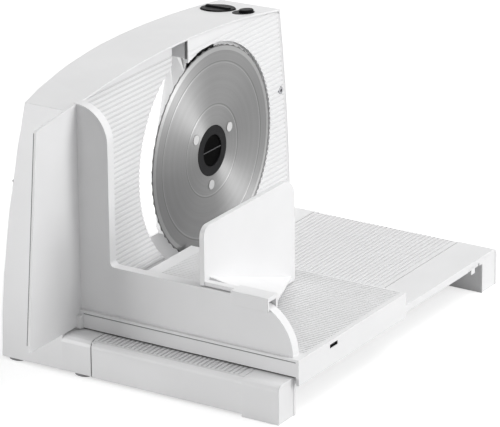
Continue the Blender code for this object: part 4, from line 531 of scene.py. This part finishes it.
def make_guard_border():
    """The plain border of the guard plate along the housing's right side."""
    side = [(y, z) for y, z in arc_through(*RIGHT_CORNER, BORDER_STEPS)
            if SILL_Z < z < BORDER_TOP_Z]
    outer = [(y - BORDER_INSET, z) for y, z in side]
    inner = [(y - BORDER_INSET - BORDER_WIDTH, z) for y, z in side]
    foot = [(y - BORDER_SLOPE, z) for y, z in inner]
    bm = bmesh.new()
    rows = [[bm.verts.new((x, y, z)) for y, z in line]
            for x, line in ((BORDER_BACK_X, outer), (BORDER_FACE_X, outer),
                            (BORDER_FACE_X, inner), (BORDER_BACK_X, foot))]
    for row, after in zip(rows, rows[1:] + rows[:1]):
        for i in range(len(side) - 1):
            bm.faces.new((row[i], row[i + 1], after[i + 1], after[i]))
    for end in (0, -1):
        bm.faces.new([row[end] for row in rows])
    bmesh.ops.recalc_face_normals(bm, faces=bm.faces)
    mesh = bpy.data.meshes.new("guard_border")
    bm.to_mesh(mesh)
    bm.free()
    new_object("guard_border", mesh, "guard", "base")


def make_shield_edge_shade():
    """The fine dark line down the outer edge of the carriage's hand shield, painted shade of that edge."""
    top, foot = [Vector((SHIELD_X, y, z)) for y, z in SHIELD_EDGE]
    run = foot - top
    bm = bmesh.new()
    bmesh.ops.create_cone(bm, cap_ends=True, segments=10, radius1=EDGE_SHADE_RADIUS, radius2=EDGE_SHADE_RADIUS,
                          depth=run.length)
    turn = run.to_track_quat("Z", "Y").to_matrix().to_4x4()
    bm.transform(Matrix.Translation((top + foot) / 2) @ turn)
    mesh = bpy.data.meshes.new("shield_edge_shade")
    bm.to_mesh(mesh)
    bm.free()
    new_object("shield_edge_shade", mesh, "edge_shade", "carriage")


def make_bar_highlight():
    """A lighter strip along the edge of the bar across the blade's hub, painted highlight."""
    bm = bmesh.new()
    size = Matrix.Diagonal((BAR_DEPTH, 2 * BAR_REACH, BAR_HEIGHT, 1.0))
    bmesh.ops.create_cube(bm, size=1.0, matrix=Matrix.Translation(BLADE_CENTRE + BAR_SHIFT) @ size)
    mesh = bpy.data.meshes.new("bar_highlight")
    bm.to_mesh(mesh)
    bm.free()
    new_object("bar_highlight", mesh, "bar", "blade_unit")


# Studio

def make_camera():
    sine, cosine = math.sin(CAMERA_AZIMUTH), math.cos(CAMERA_AZIMUTH)
    rise, level = math.sin(CAMERA_ELEVATION), math.cos(CAMERA_ELEVATION)
    forward = Vector((-sine * level, cosine * level, -rise))
    right = Vector((cosine, sine, 0.0))
    up = right.cross(forward)
    roll_cos, roll_sin = math.cos(CAMERA_ROLL), math.sin(CAMERA_ROLL)
    x_axis = right * roll_cos + up * roll_sin
    y_axis = up * roll_cos - right * roll_sin
    data = bpy.data.cameras.new("camera")
    data.sensor_width = SENSOR_WIDTH
    data.lens = CAMERA_LENS
    data.clip_start = 0.05
    data.clip_end = 50.0
    camera = bpy.data.objects.new("camera", data)
    bpy.context.scene.collection.objects.link(camera)
    turn = Matrix((x_axis, y_axis, -forward)).transposed().to_4x4()
    camera.matrix_world = Matrix.Translation(CAMERA_PLACE) @ turn
    bpy.context.scene.camera = camera


def area_light(name, place, target, size, power):
    data = bpy.data.lights.new(name, "AREA")
    data.shape = "RECTANGLE"
    data.size, data.size_y = size
    data.energy = power
    light = bpy.data.objects.new(name, data)
    bpy.context.scene.collection.objects.link(light)
    aim = Vector(target) - Vector(place)
    light.matrix_world = Matrix.Translation(place) @ aim.to_track_quat("-Z", "Y").to_matrix().to_4x4()


def make_lights():
    for lamp in LAMPS:
        area_light(*lamp)


def any_of(nodes, links, path):
    """1 for camera, glossy and transmission rays."""
    total = path.outputs["Is Camera Ray"]
    for kind in ("Is Glossy Ray", "Is Transmission Ray"):
        most = nodes.new("ShaderNodeMath")
        most.operation = "MAXIMUM"
        links.new(total, most.inputs[0])
        links.new(path.outputs[kind], most.inputs[1])
        total = most.outputs[0]
    return total


def make_world():
    """Plain grey light all round, which the camera and glossy surfaces see as white."""
    world = bpy.data.worlds.new("studio")
    bpy.context.scene.world = world
    world.use_nodes = True
    nodes, links = world.node_tree.nodes, world.node_tree.links
    background = nodes["Background"]
    background.inputs["Color"].default_value = (1.0, 1.0, 1.0, 1.0)
    path = nodes.new("ShaderNodeLightPath")
    seen = nodes.new("ShaderNodeMapRange")
    seen.inputs["To Min"].default_value = AMBIENT
    seen.inputs["To Max"].default_value = 1.0
    links.new(any_of(nodes, links, path), seen.inputs["Value"])
    links.new(seen.outputs["Result"], background.inputs["Strength"])


def make_floor():
    mesh = bpy.data.meshes.new("studio_floor")
    bm = bmesh.new()
    bmesh.ops.create_grid(bm, x_segments=1, y_segments=1, size=FLOOR_HALF_SIZE)
    bm.to_mesh(mesh)
    bm.free()
    floor = bpy.data.objects.new("studio_floor", mesh)
    bpy.context.scene.collection.objects.link(floor)
    tree = Tree("studio_floor")
    tree.shader.inputs["Roughness"].default_value = 0.9
    tree.shader.inputs["Specular IOR Level"].default_value = 0.0
    place = tree.place()
    tone = tree.spread(tree.noise(place, 3.0), 0.0, 1.0)
    tree.link(tree.blend(tone, shade(FLOOR, 0.99), FLOOR), tree.shader.inputs["Base Color"])
    path = tree.add("LightPath")
    seen = any_of(tree.nodes, tree.material.node_tree.links, path)
    glow = tree.maths("MULTIPLY", seen, FLOOR_GLOW)
    tree.shader.inputs["Emission Color"].default_value = (1.0, 1.0, 1.0, 1.0)
    tree.link(glow, tree.shader.inputs["Emission Strength"])
    mesh.materials.append(tree.material)


bpy.context.scene.view_settings.view_transform = "Standard"
make_camera()
make_lights()
make_world()
make_floor()
paint_nodes()
make_guard_border()
make_shield_edge_shade()
make_bar_highlight()
